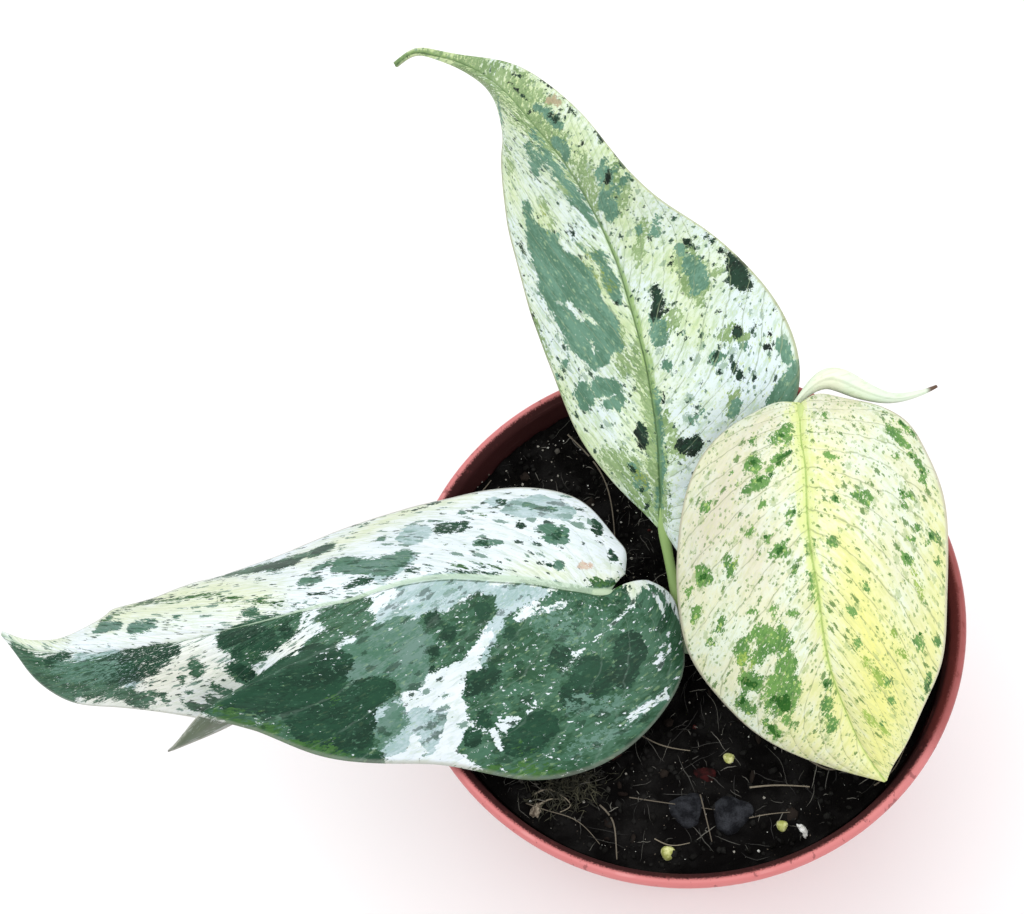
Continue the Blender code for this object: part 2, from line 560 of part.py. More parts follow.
def paint(piece, name, colour, roughness):
    """Give the piece one material of its own."""
    piece.data.materials.clear()
    piece.data.materials.append(plain_material(name, colour, roughness))


def build():
    """Make every piece of the potted plant."""
    for piece in list(bpy.data.objects):
        bpy.data.objects.remove(piece, do_unlink=True)
    make_pot()
    soil = make_soil()
    make_loose_pieces(soil)
    boolean(soil, [make_stem("stem hole", GAP)], "DIFFERENCE")
    paint(soil, "potting soil", (0.012, 0.009, 0.008), 0.95)
    paint(make_stem("vine_stem"), "green stem", (0.16, 0.24, 0.07), 0.55)
    make_leaf("upper_leaf", UPPER_LEAF, (32, 6), 1.5, (0.8, 2.0),
              (UPPER_STALK, UPPER_STALK_RADII), ("mint and green leaf", (0.52, 0.62, 0.47), 0.45))
    make_leaf("left_leaf", LEFT_LEAF, (72, 9), 2.6, (0.5, 2.0),
              (LEFT_STALK, LEFT_STALK_RADII), ("silver and dark green leaf", (0.12, 0.22, 0.14), 0.4),
              (LEFT_PLEAT, LEFT_CUSP))
    make_leaf("right_leaf", RIGHT_LEAF, (28, 7), 2.5, (0.6, 1.5),
              (RIGHT_STALK, RIGHT_STALK_RADII), ("cream and lime leaf", (0.76, 0.76, 0.42), 0.45))
    make_young_leaf()


build()
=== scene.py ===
"""Looks of the potted satin scindapsus: finer pieces, leaf markings, soil, light and camera.

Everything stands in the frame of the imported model, with +Z up. Places and sizes are in
millimetres, and only node values that follow Object coordinates, lights and camera are in metres.
"""
import math

import bpy
import numpy as np
from mathutils import Matrix


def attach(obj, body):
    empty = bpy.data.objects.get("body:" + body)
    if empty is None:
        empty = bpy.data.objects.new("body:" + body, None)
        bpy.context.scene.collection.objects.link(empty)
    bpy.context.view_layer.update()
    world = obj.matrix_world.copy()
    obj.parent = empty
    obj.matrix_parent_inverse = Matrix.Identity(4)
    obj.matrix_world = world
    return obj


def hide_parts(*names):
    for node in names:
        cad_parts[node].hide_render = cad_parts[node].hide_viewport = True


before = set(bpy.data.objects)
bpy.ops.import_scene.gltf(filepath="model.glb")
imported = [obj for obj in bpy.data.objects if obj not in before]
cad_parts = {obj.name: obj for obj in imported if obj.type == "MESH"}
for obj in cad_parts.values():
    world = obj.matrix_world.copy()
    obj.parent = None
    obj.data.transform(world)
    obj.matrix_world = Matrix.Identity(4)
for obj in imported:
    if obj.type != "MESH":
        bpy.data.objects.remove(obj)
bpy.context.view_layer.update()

# Pot
# A thin nursery pot, moulded in one piece from salmon polypropylene, with a stepped collar, a
# rounded lip and a ring of drain holes in its floor. Its inside and the inner half of its lip are
# darkened by soil dust and by painted shade.
MM = 0.001
FULL_TURN = 2 * math.pi
pot_sides, pot_ease, sharp_from = 192, 0.35, math.radians(35)
# distance from the axis and height, from the base's middle below round the wall to that above
pot_outline = (
    (0, 0), (41.7, 0), (42.5, 0.8), (56.0, 87.6), (58.0, 88.0), (58.5, 97.2), (59.6, 97.6),
    (60.0, 98.4), (60.0, 99.2), (59.4, 99.9), (58.95, 100.0), (58.5, 99.9), (57.9, 99.2),
    (57.0, 97.6), (56.5, 89.5), (54.5, 87.6), (41.15, 2.6), (40.2, 1.8), (0, 1.8),
)
drain_count, drain_circle, drain_radius, drill_sides = 8, 30.0, 4.0, 40
drill_bottom, drill_top = -3.0, 5.0


def new_object(name, data):
    """Object that shows its data, linked into the scene."""
    made = bpy.data.objects.new(name, data)
    bpy.context.collection.objects.link(made)
    return made


def put_mesh(name, points, quads, triangles=()):
    """Object from points in millimetres and outward faces, given as whole arrays."""
    points = np.asarray(points, float).reshape(-1, 3) * MM
    quads = np.asarray(quads, int).reshape(-1, 4)
    triangles = np.asarray(triangles, int).reshape(-1, 3)
    corners = np.concatenate([quads.ravel(), triangles.ravel()])
    counts = np.repeat([4, 3], [len(quads), len(triangles)])
    mesh = bpy.data.meshes.new(name)
    mesh.vertices.add(len(points))
    mesh.vertices.foreach_set("co", points.ravel())
    mesh.loops.add(len(corners))
    mesh.loops.foreach_set("vertex_index", corners.astype(np.int32))
    mesh.polygons.add(len(counts))
    mesh.polygons.foreach_set("loop_start", (np.cumsum(counts) - counts).astype(np.int32))
    mesh.update(calc_edges=True)
    mesh.validate()
    mesh.shade_smooth()
    return new_object(name, mesh)


def round_angles(sides):
    """Angles evenly round a full turn."""
    return np.linspace(0, FULL_TURN, sides, endpoint=False)


def rings(out, height, sides):
    """Points of level rings round Z, from each ring's distance from Z and its height."""
    angle = round_angles(sides)
    return np.stack([np.outer(out, np.cos(angle)), np.outer(out, np.sin(angle)),
                     np.outer(height, np.ones(sides))], axis=-1)


def net(rows, columns, closed=True):
    """Quads between the points of a grid, row after row; closed joins last and first column."""
    i, j = np.mgrid[0:rows - 1, 0:columns if closed else columns - 1]
    row, beside = i * columns, (j + 1) % columns
    return np.stack([row + j, row + beside, row + columns + beside, row + columns + j],
                    axis=-1).reshape(-1, 4)


def skin(rows, columns):
    """Quads of a tube of rings, and triangles that close it on the two points after the rings."""
    j = np.arange(columns)
    beside, top = (j + 1) % columns, (rows - 1) * columns
    end = np.full(columns, rows * columns)
    first = np.stack([end, beside, j], axis=-1)
    last = np.stack([end + 1, top + j, top + beside], axis=-1)
    return net(rows, columns), np.concatenate([first, last])


def softened(line, cut):
    """Corners of a line cut off three times over, each time by half as much as before."""
    line = np.asarray(line, float)
    for size in (cut, cut / 2, cut / 4):
        step = np.diff(line, axis=0)
        length = np.linalg.norm(step, axis=1, keepdims=True)
        part = np.minimum(size, 0.3 * length) / length
        inner = np.stack([line[:-1] + step * part, line[1:] - step * part], axis=1).reshape(-1, 2)
        line = np.concatenate([line[:1], inner[1:-1], line[-1:]])
    return line


def turned(name, outline, sides):
    """Closed solid of revolution about Z from an outline that starts and ends on the axis."""
    outline = np.asarray(outline, float)
    wall = outline[1:-1]
    points = np.concatenate([rings(*wall.T, sides).reshape(-1, 3),
                             [(0, 0, outline[0, 1]), (0, 0, outline[-1, 1])]])
    return put_mesh(name, points, *skin(len(wall), sides))


class Reading:
    """What a shader node gives at each point; arithmetic on it adds Math nodes to its tree."""

    def __init__(self, socket):
        self.socket = socket

    def __add__(self, other):
        return maths("ADD", self, other)

    def __radd__(self, other):
        return maths("ADD", other, self)

    def __sub__(self, other):
        return maths("SUBTRACT", self, other)

    def __rsub__(self, other):
        return maths("SUBTRACT", other, self)

    def __mul__(self, other):
        return maths("MULTIPLY", self, other)

    def __truediv__(self, other):
        return maths("DIVIDE", self, other)

    def clamped(self):
        """The same reading, its Math node kept between 0 and 1."""
        self.socket.node.use_clamp = True
        return self


def node(tree, kind, feeds=None, out=0, **settings):
    """Reading of a new shader node, or a list of them, its inputs fed with values or readings."""
    made = tree.nodes.new("ShaderNode" + kind)
    for key, value in settings.items():
        setattr(made, key, value)
    for socket, value in (feeds or {}).items():
        if isinstance(value, Reading):
            tree.links.new(value.socket, made.inputs[socket])
        else:
            made.inputs[socket].default_value = value
    if isinstance(out, tuple):
        return [Reading(made.outputs[label]) for label in out]
    return Reading(made.outputs[out])


def tree_of(*values):
    """Node tree of the first reading among the values."""
    return next(value for value in values if isinstance(value, Reading)).socket.id_data


def maths(operation, a, b=0.0):
    """Result of a Math node."""
    return node(tree_of(a, b), "Math", {0: a, 1: b}, operation=operation)


def stepped(value, low, high):
    """0 on the far side of low, 1 on that of high, and a smooth step between them."""
    return node(tree_of(value), "MapRange", {0: value, 1: low, 2: high},
                interpolation_type="SMOOTHSTEP")


def blended(share, a, b):
    """Colour a where the share is 0 and b where it is 1."""
    a, b = (tone if isinstance(tone, Reading) else (*tone, 1.0) for tone in (a, b))
    return node(tree_of(share, a, b), "Mix", {0: share, 6: a, 7: b}, 2, data_type="RGBA")


def coated(tone, *coats):
    """Tone under coats of (share, colour), laid one over the other."""
    for share, colour in coats:
        tone = blended(share, tone, colour)
    return tone


def here(tree):
    """Place on the finished piece, in Object coordinates."""
    return node(tree, "TexCoord", out="Object")


def joined(x, y, z=0.0):
    """Place made of three numbers."""
    return node(tree_of(x, y), "CombineXYZ", {0: x, 1: y, 2: z})


def noise(place, scale, detail, rough=0.5):
    """Cloudy noise from 0 to 1; a scale of three numbers stretches it."""
    if isinstance(scale, tuple):
        place, scale = node(tree_of(place), "Mapping", {0: place, 3: scale}), 1.0
    return node(tree_of(place), "TexNoise",
                {"Vector": place, "Scale": scale, "Detail": detail, "Roughness": rough})


def new_finish(name):
    """Empty material and its node tree."""
    material = bpy.data.materials.new(name)
    material.use_nodes = True
    return material, material.node_tree


def finished(material, tone, rough, relief, depth, strength, gloss=0.5):
    """Material whose shader gets a tone, a roughness, a bump of a depth in metres, and a gloss."""
    tree = material.node_tree
    shader = tree.nodes["Principled BSDF"]
    bump = node(tree, "Bump", {"Height": relief, "Distance": depth, "Strength": strength})
    for socket, value in (("Base Color", tone), ("Roughness", rough), ("Normal", bump)):
        tree.links.new(value.socket, shader.inputs[socket])
    shader.inputs["Specular IOR Level"].default_value = gloss
    return material


def new_group(name, inputs, outputs):
    """Shader node group of numbers: the group, readings of its inputs, and its output sockets."""
    group = bpy.data.node_groups.new(name, "ShaderNodeTree")
    for label, value in inputs.items():
        group.interface.new_socket(label, in_out="INPUT",
                                   socket_type="NodeSocketFloat").default_value = value
    for label in outputs:
        group.interface.new_socket(label, in_out="OUTPUT", socket_type="NodeSocketFloat")
    given = group.nodes.new("NodeGroupInput").outputs
    return (group, [Reading(given[label]) for label in inputs],
            group.nodes.new("NodeGroupOutput").inputs)


def grain_group():
    """Cloudy patches and fine grain in object space, of sizes given in millimetres."""
    group, (patch_size, grain_size), out = new_group(
        "grain", {"Patch size": 20.0, "Grain size": 0.4}, ("Patches", "Grain"))
    place = here(group)
    for label, size, detail in (("Patches", patch_size, 4.0), ("Grain", grain_size, 2.0)):
        cloud = noise(place, maths("DIVIDE", 1000.0, size), detail)
        group.links.new(cloud.socket, out[label])
    return group


grain = grain_group()


def grained(tree, patch, fine):
    """Patches and grain of two sizes in millimetres."""
    return node(tree, "Group", {"Patch size": patch, "Grain size": fine}, (0, 1), node_tree=grain)


def pot_plastic():
    """Salmon plastic with cloudy tone, fine moulded grain, soil dust and painted shade inside."""
    material, tree = new_finish("salmon plastic")
    patches, fine = grained(tree, patch=14.0, fine=0.35)
    place = here(tree)
    x, y, z = node(tree, "SeparateXYZ", {0: place}, (0, 1, 2))
    # the wall's middle radius at each height parts the inside from the outside
    middle = z * 0.1545 + 0.0416 + maths("GREATER_THAN", z, 0.0888) * 0.0013
    uneven = (fine - 0.5) * 0.0009
    inside = stepped(maths("SQRT", x * x + y * y) - middle + uneven, 0.0003, -0.0002)
    # painted shade: the inner wall and inner half of the lip go nearly black, partly soil dust,
    # partly the shade inside the pot
    dust_and_shade = (inside * stepped(patches, 0.05, 0.40)).clamped()
    scuffs = stepped(noise(place, (90.0, 90.0, 1400.0), 3.0), 0.60, 0.70)
    smears = noise(place, (420.0, 230.0, 300.0), 5.0, rough=0.7)
    near_lip = stepped(smears, 0.585, 0.63) * stepped(z, 0.0975, 0.0990)
    # painted shade: the lip is darkened on its right side, where the right leaf hangs over it
    right_lip_shade = stepped(x + uneven * 4.0, 0.035, 0.043) * stepped(z, 0.0955, 0.0985)
    tone = coated(blended(patches, (0.57, 0.160, 0.156), (0.64, 0.215, 0.213)),
                  (dust_and_shade * 0.97, (0.034, 0.0045, 0.0045)),
                  (scuffs * (0.22 - dust_and_shade * 0.20), (0.84, 0.46, 0.44)),
                  (near_lip * 0.6, (0.16, 0.035, 0.035)),
                  (right_lip_shade * (0.50 + smears * 0.30), (0.25, 0.042, 0.036)))
    return finished(material, tone, fine * 0.22 + 0.30 + dust_and_shade * 0.3, fine + scuffs * 0.6,
                    depth=0.00006, strength=0.5, gloss=0.3)


def fit(piece, finish, slot, *nodes):
    """The piece gets its finish, rides on the one body and stands for nodes; its slot is not used.
    """
    piece.data.materials.append(finish)
    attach(piece, "root")
    if nodes:
        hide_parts(*nodes)


pot = turned("pot_shell", softened(pot_outline, pot_ease), pot_sides)
drills = []
for k in range(drain_count):
    turn = FULL_TURN * (k + 0.5) / drain_count
    drill = turned("drill", ((0, drill_bottom), (drain_radius, drill_bottom),
                             (drain_radius, drill_top), (0, drill_top)), drill_sides)
    drill.data.transform(Matrix.Translation((drain_circle * math.cos(turn) * MM,
                                             drain_circle * math.sin(turn) * MM, 0)))
    hole = pot.modifiers.new("drain hole", "BOOLEAN")
    hole.operation, hole.solver, hole.object = "DIFFERENCE", "EXACT", drill
    drills.append(drill)
bpy.context.view_layer.update()
drained = bpy.data.meshes.new_from_object(pot.evaluated_get(bpy.context.evaluated_depsgraph_get()))
pot.modifiers.clear()
pot.data = drained
for drill in drills:
    bpy.data.objects.remove(drill, do_unlink=True)
pot.data.set_sharp_from_angle(angle=sharp_from)
fit(pot, pot_plastic(), "pot", "pot")

# Soil
# Moist peat mix that fills the pot: one body with an uneven crumbly top. Loose crumbs of peat and
# bark, pale grit and fine root fibres lie on it, each kind joined into one piece.
soil_level, soil_edge, soil_rings, soil_sides = 92.0, 56.2, 120, 540
# distance from the axis and height of the rings that carry the disc of the crumbly top
soil_block = ((40.0, 2.1), (41.0, 3.0), (54.2, 87.7), (56.2, 89.8))
lump_count, lump_field, lump_reach, lump_seed = 60, 60.0, (3.0, 9.0), 11
lump_lift, lowest_lump = 2.4, -0.8
lattice_cells, lattice_middle = 64, 128.0
# size and depth of each drift in the crumbly top, from the coarsest down
crumb_drifts, drift_seed = ((5.0, 0.9), (2.6, 0.7), (1.5, 0.5), (0.9, 0.3)), 40
crumb_count, chip_count, grit_count, fibre_count = 3600, 90, 700, 900
wall_reach, crumb_field, fibre_field = 55.3, 54.8, 54.0


def lumps(x, y):
    """Height of the soil's main lumps and hollows, as in the solid: a sum of seeded round bells."""
    draw = np.random.default_rng(lump_seed)
    height = np.zeros(np.shape(x))
    for _ in range(lump_count):
        turn, out = draw.uniform(0, FULL_TURN), lump_field * math.sqrt(draw.uniform(0, 1))
        reach, lift = draw.uniform(*lump_reach), draw.uniform(lowest_lump, 1.0) * lump_lift
        away = (x - out * math.cos(turn)) ** 2 + (y - out * math.sin(turn)) ** 2
        height += lift * np.exp(-away / reach ** 2)
    return height


def drift(x, y, size, seed):
    """Smooth random value from -1 to 1: seeded lattice values joined by an eased blend."""
    cells = lattice_cells
    lattice = np.random.default_rng(seed).uniform(-1, 1, (cells, cells))
    u, v = x / size + lattice_middle, y / size + lattice_middle
    i, j = np.floor(u).astype(int), np.floor(v).astype(int)
    u, v = u - i, v - j
    u, v = u * u * (3 - 2 * u), v * v * (3 - 2 * v)
    near, far = (lattice[i % cells, row % cells] * (1 - u)
                 + lattice[(i + 1) % cells, row % cells] * u for row in (j, j + 1))
    return near * (1 - v) + far * v


def ground(x, y):
    """Height of the crumbly top: the main lumps plus folded drifts of ever finer size."""
    height = soil_level + lumps(x, y)
    for k, (size, lift) in enumerate(crumb_drifts):
        height = height + lift * (0.5 - np.abs(drift(x, y, size, drift_seed + k)))
    return height


def soil_body():
    """Closed body: a finely uneven disc on top of a plain tapering block."""
    out, height = np.array(soil_block).T
    disc = soil_edge * (1 - np.arange(soil_rings) / soil_rings) ** 0.8
    points = rings(np.concatenate([out, disc]), np.concatenate([height, disc]), soil_sides)
    top = points[len(soil_block):]
    top[..., 2] = ground(top[..., 0], top[..., 1])
    ends = [(0, 0, height[0]), (0, 0, ground(np.zeros(1), np.zeros(1))[0])]
    return put_mesh("soil_mix", np.concatenate([points.reshape(-1, 3), ends]),
                    *skin(len(points), soil_sides))


def fact(tree, label):
    """A number kept at each point of the piece."""
    return node(tree, "Attribute", out="Fac", attribute_name=label)


def soil_finish(name, dark, brown, pale, pale_from, per_piece=True):
    """Dull earth: dark and brown patches, a few pale grains, and a rough pitted surface.

    Loose crumbs have their own tone for each piece, and those whose shade passes pale_from are
    pale; on the one body the fine grain does that.
    """
    material, tree = new_finish(name)
    patches, fine = grained(tree, patch=7.0, fine=0.5)
    share = stepped(patches, 0.42, 0.66)
    tone = blended(share, dark, brown)
    if per_piece:
        own = fact(tree, "shade")
        tone = coated(tone, (stepped(own, 0.25, 0.85), brown),
                      (stepped(own, pale_from, pale_from + 0.02), pale))
    else:
        tone = blended(stepped(fine, pale_from, pale_from + 0.03), tone, pale)
    return finished(material, tone, 0.95 - share * 0.2, fine, depth=0.0004, strength=0.9,
                    gloss=0.08)


fit(soil_body(), soil_finish("moist potting mix", (0.0020, 0.0016, 0.0015),
                             (0.0070, 0.0064, 0.0060), (0.16, 0.13, 0.10),
                             pale_from=0.735, per_piece=False), "soil", "soil")


def ball(levels, sides):
    """Unit sphere as rings between two poles: its points, quads and triangles."""
    rise = np.linspace(-math.pi / 2, math.pi / 2, levels + 2)[1:-1]
    points = rings(np.cos(rise), np.sin(rise), sides).reshape(-1, 3)
    return np.concatenate([points, [(0, 0, -1), (0, 0, 1)]]), *skin(levels, sides)


def any_turn(draw, count):
    """Random turns in space, as matrices worked out from random quaternions."""
    turns = draw.normal(size=(4, count))
    w, x, y, z = turns / np.linalg.norm(turns, axis=0)
    return np.stack([
        np.stack([1 - 2 * (y * y + z * z), 2 * (x * y - z * w), 2 * (x * z + y * w)], -1),
        np.stack([2 * (x * y + z * w), 1 - 2 * (x * x + z * z), 2 * (y * z - x * w)], -1),
        np.stack([2 * (x * z - y * w), 2 * (y * z + x * w), 1 - 2 * (x * x + y * y)], -1)], axis=1)


def keep_fact(piece, label, values):
    """One number for each point of a piece, kept under a label."""
    kept = piece.data.attributes.new(label, "FLOAT", "POINT")
    kept.data.foreach_set("value", np.asarray(values, np.float32).ravel())


def put_many(name, bodies, quads, triangles, draw):
    """Many like bodies as one mesh, each with its own random shade."""
    count, size = bodies.shape[:2]
    ahead = np.arange(count)[:, None, None] * size
    piece = put_mesh(name, bodies, quads[None] + ahead, triangles[None] + ahead)
    keep_fact(piece, "shade", np.repeat(draw.uniform(0, 1, count), size))
    return piece


def scattered(name, places, sizes, flatness, seed, levels=2, sides=5):
    """Many small angular lumps as one mesh: a unit ball, dented, flattened, turned and moved."""
    draw = np.random.default_rng(seed)
    points, quads, triangles = ball(levels, sides)
    count = len(places)
    shape = points[None] * draw.uniform(0.7, 1.25, (count, len(points), 1))
    shape = shape * np.stack([np.ones(count), draw.uniform(0.6, 1.0, count),
                              draw.uniform(*flatness, count)], -1)[:, None]
    shape = np.einsum("nij,nkj->nki", any_turn(draw, count), shape) * sizes[:, None, None]
    return put_many(name, shape + places[:, None], quads, triangles, draw)


def strewn(count, draw, field=crumb_field):
    """Random places on the soil, evenly over a round field."""
    turn, out = draw.uniform(0, FULL_TURN, count), field * np.sqrt(draw.uniform(0, 1, count))
    x, y = out * np.cos(turn), out * np.sin(turn)
    return np.stack([x, y, ground(x, y)], -1)


draw = np.random.default_rng(3)
crumb_sizes = 0.25 + 0.9 * draw.uniform(0, 1, crumb_count) ** 3
fit(scattered("soil_crumbs", strewn(crumb_count, draw), crumb_sizes, flatness=(0.5, 1.0), seed=4),
    soil_finish("peat crumbs", (0.003, 0.0025, 0.002), (0.013, 0.0125, 0.0115),
                (0.16, 0.15, 0.13), pale_from=0.985), "soil")

fit(scattered("bark_crumbs", strewn(chip_count, draw), 0.7 + 1.3 * draw.uniform(0, 1, chip_count),
              flatness=(0.25, 0.5), seed=5, levels=3, sides=6),
    soil_finish("bark crumbs", (0.010, 0.006, 0.005), (0.020, 0.015, 0.012),
                (0.075, 0.02, 0.018), pale_from=0.95), "soil")

# a third of the grit is gathered at the back left, where it shows behind the leaves
gathered = 240
grit_places = strewn(grit_count, draw)
grit_places[:gathered] = grit_places[:gathered] * (0.55, 0.45, 0) + (-22.0, 26.0, 0)
grit_places[:, 2] = ground(grit_places[:, 0], grit_places[:, 1]) + 0.15
grit_sizes = 0.10 + 0.34 * draw.uniform(0, 1, grit_count) ** 4
fit(scattered("pale_grit", grit_places, grit_sizes, flatness=(0.7, 1.0), seed=6),
    soil_finish("pale grit", (0.20, 0.18, 0.15), (0.42, 0.40, 0.35), (0.7, 0.7, 0.65),
                pale_from=0.8), "soil")


def unit(vectors):
    """Vectors of the same directions, one long."""
    return vectors / np.maximum(np.linalg.norm(vectors, axis=-1, keepdims=True), 1e-9)


def ring_round(side, up, sides):
    """Unit ring about each point of a path, square to it, from its two cross directions."""
    angle = round_angles(sides)[:, None]
    return side[..., None, :] * np.cos(angle) + up[..., None, :] * np.sin(angle)


def strands(name, starts, headings, lengths, radii, curl, lift, seed, steps=14, sides=5):
    """Many thin roots or fibres as one mesh: each wanders in its heading, lying on the soil.

    It rises by its lift in a low hump, stays inside the pot's wall and thins at both ends.
    """
    draw = np.random.default_rng(seed)
    count = len(starts)
    bend = np.cumsum(draw.normal(0, curl, (count, steps)), axis=1)
    heading = headings[:, None] + bend
    step = (lengths / (steps - 1))[:, None]
    x, y = (starts[:, k:k + 1] + np.cumsum(run(heading) * step, axis=1) - run(heading[:, :1]) * step
            for k, run in enumerate((np.cos, np.sin)))
    inside = np.minimum(1.0, wall_reach / np.maximum(np.hypot(x, y), 1e-6))
    x, y = x * inside, y * inside
    way = np.linspace(0, 1, steps)
    z = ground(x, y)
    level = z[:, :1] * (1 - way) + z[:, -1:] * way
    z = np.maximum(z, level) + radii[:, None] + lift[:, None] * np.sin(way * math.pi * 0.8) ** 2
    path = np.stack([x, y, z], -1)
    tangent = unit(np.gradient(path, axis=1))
    side = unit(np.cross(tangent, (0.0, 0.0, 1.0)))
    thick = radii[:, None] * (1 - 0.75 * np.abs(2 * way - 1) ** 3)
    ring = ring_round(side, np.cross(side, tangent), sides)
    tube = path[:, :, None] + ring * thick[:, :, None, None]
    bodies = np.concatenate([tube.reshape(count, -1, 3), path[:, [0, -1]]], axis=1)
    quads, triangles = skin(steps, sides)
    return put_many(name, bodies, quads[:, ::-1], triangles[:, ::-1], draw)


def strand_finish(name, dark, pale):
    """Dry fibre: each strand has its own tone from dark to pale, with blotches along it."""
    material, tree = new_finish(name)
    own = fact(tree, "shade")
    patches, fine = grained(tree, patch=3.0, fine=0.2)
    share = (own * own + (patches - 0.5) * 0.7).clamped()
    return finished(material, blended(share, dark, pale), 0.6 + fine * 0.3, fine,
                    depth=0.00008, strength=0.6)


fibre_places = strewn(fibre_count, draw, fibre_field)
fibre_headings = draw.uniform(0, FULL_TURN, fibre_count)
fibre_lengths = 1.2 + 11.0 * draw.uniform(0, 1, fibre_count) ** 4
fibre_radii = draw.uniform(0.04, 0.11, fibre_count)
fibres = strands("root_fibres", fibre_places[:, :2], fibre_headings, fibre_lengths, fibre_radii,
                 curl=0.13, lift=draw.uniform(0.0, 1.2, fibre_count), seed=7)
fit(fibres, strand_finish("dry fibre", (0.010, 0.009, 0.008), (0.21, 0.20, 0.17)), "soil")

# Loose pieces in the soil
# Two bits of dark grey grit stone, chips of red bark and pale wood, coated fertiliser beads and a
# chip of perlite, all half sunk in the peat.
bedded_levels, bedded_sides = 40, 56


def bedded(name, place, half, turn, seed, dents, corners):
    """Closed lump set in the soil: a ball with drifting dents and three soft corners."""
    points, quads, triangles = ball(bedded_levels, bedded_sides)
    x, y, z = points.T
    wide = 1 + corners * np.sin(3 * np.arctan2(y, x) + 1.3) * np.sqrt(np.maximum(0, 1 - z ** 2))
    dent = drift(x * 2 + z, y * 2 - z, 0.9, seed)
    dent = dent + 0.5 * drift(x * 2 - z, y * 2 + z, 0.4, seed + 1)
    shape = points * np.stack([wide, wide, np.ones(len(points))], -1)
    shape = shape * (1 - dents * (0.5 + 0.5 * dent))[:, None] * np.asarray(half)
    shape = shape @ np.array([[math.cos(turn), math.sin(turn), 0],
                              [-math.sin(turn), math.cos(turn), 0], [0, 0, 1]])
    top = soil_level + lumps(np.array([place[0]]), np.array([place[1]]))[0]
    return put_mesh(name, shape + (*place, top), quads, triangles)


def mineral_finish(name, dark, light, patch, grit, rough, depth):
    """Grained mineral or seed coat: two tones in patches, fine speckle and a pitted surface."""
    material, tree = new_finish(name)
    patches, fine = grained(tree, patch, grit)
    share = (stepped(patches, 0.35, 0.68) + (fine - 0.5) * 0.9).clamped()
    return finished(material, blended(share, dark, light), rough + fine * 0.2, fine,
                    depth=depth, strength=0.8, gloss=0.12)


# finishes: dark tone, light tone, patch size, grain size, roughness and depth of its bump in metres
mineral = {name: mineral_finish(name, *values) for name, values in {
    "grit stone": ((0.006, 0.0065, 0.0085), (0.033, 0.035, 0.041), 2.0, 0.35, 0.75, 0.0006),
    "dark red bark": ((0.009, 0.002, 0.002), (0.042, 0.006, 0.006), 1.6, 0.22, 0.75, 0.00025),
    "fertiliser coat": ((0.36, 0.38, 0.10), (0.74, 0.74, 0.36), 1.0, 0.2, 0.32, 0.00004),
    "white perlite": ((0.55, 0.54, 0.50), (0.90, 0.90, 0.87), 0.8, 0.15, 0.85, 0.0002),
    "pale wood chip": ((0.10, 0.075, 0.055), (0.40, 0.34, 0.26), 0.9, 0.2, 0.8, 0.0002),
}.items()}
# pieces: place, half sizes, turn, seed, depth of dents, depth of corners, finish, slot and node
loose_pieces = (
    ("grit_stone_1", (-11.3, -42), (4.1, 3.7, 2.5), 0.4, 71, 0.14, 0.12, "grit stone",
     "stones", "stone_1"),
    ("grit_stone_2", (-2.9, -45.5), (3.8, 4.3, 2.7), 1.9, 73, 0.14, 0.12, "grit stone",
     "stones", "stone_2"),
    ("bark_piece", (-5.6, -36.2), (3.0, 2.0, 1.2), 2.5, 77, 0.3, 0.12, "dark red bark",
     "bark_chip", "bark_chip"),
    ("fertiliser_1", (0.3, -34.3), (1.3,) * 3, 0.0, 81, 0.05, 0.08, "fertiliser coat",
     "fertiliser_beads", "fertiliser_bead_1"),
    ("fertiliser_2", (-17.6, -49), (1.5,) * 3, 0.0, 82, 0.05, 0.08, "fertiliser coat",
     "fertiliser_beads", "fertiliser_bead_2"),
    ("fertiliser_3", (6, -50.2), (1.2,) * 3, 0.0, 83, 0.05, 0.08, "fertiliser coat",
     "fertiliser_beads", "fertiliser_bead_3"),
    ("perlite_bit", (9.6, -52.2), (0.85, 1.75, 1.1), 0.2, 91, 0.24, 0.12, "white perlite",
     "perlite_chip", "perlite_chip"),
    ("wood_chip", (-41.2, -33.6), (2.0, 1.5, 1.9), 0.9, 95, 0.34, 0.12, "pale wood chip",
     "soil"),
)
for name, place, half, turn, seed, dents, corners, finish, *where in loose_pieces:
    fit(bedded(name, place, half, turn, seed, dents, corners), mineral[finish], *where)

# Vine stem
# The rooted cutting itself: a short green stem, swollen in a ring at each node where a leaf stalk
# grows from it, with a thin scar under the ring. Its foot is hidden in the soil.
stem_route = ((2.1, -12.8, 64), (2.7, -12.4, 72), (4.3, -11.2, 92), (5.5, -10.4, 97),
              (6.6, -10, 102), (7.9, -10, 108))
stem_nodes, stem_radius, stem_steps, stem_sides = (95.5, 99.5, 103.5), 2.0, 140, 28
stem_swell, swell_reach, tip_height = 0.6, 1.2, 0.4
scar_depth, scar_drop, scar_reach = 0.12, 0.5, 0.25


def spline(knots, values, places):
    """Natural cubic spline through values given at knots, read at the places."""
    count = len(knots)
    step = np.diff(knots)[:, None]
    slope = np.diff(values, axis=0) / step
    system = np.eye(count)
    right = np.zeros_like(values)
    for i in range(1, count - 1):
        system[i, i - 1:i + 2] = step[i - 1, 0], 2 * (step[i - 1, 0] + step[i, 0]), step[i, 0]
        right[i] = 6 * (slope[i] - slope[i - 1])
    bend = np.linalg.solve(system, right)
    k = np.clip(np.searchsorted(knots, places, side="right") - 1, 0, count - 2)
    after = ((places - knots[k]) / step[k, 0])[:, None]
    before = 1 - after
    lift = (before ** 3 - before) * bend[k] + (after ** 3 - after) * bend[k + 1]
    return before * values[k] + after * values[k + 1] + lift * step[k] ** 2 / 6


def travelled(line):
    """Way so far at each point of a line, or of whichever of several lines moves most."""
    step = np.linalg.norm(np.diff(line, axis=0), axis=-1)
    return np.r_[0.0, np.cumsum(step.reshape(len(step), -1).max(axis=1))]


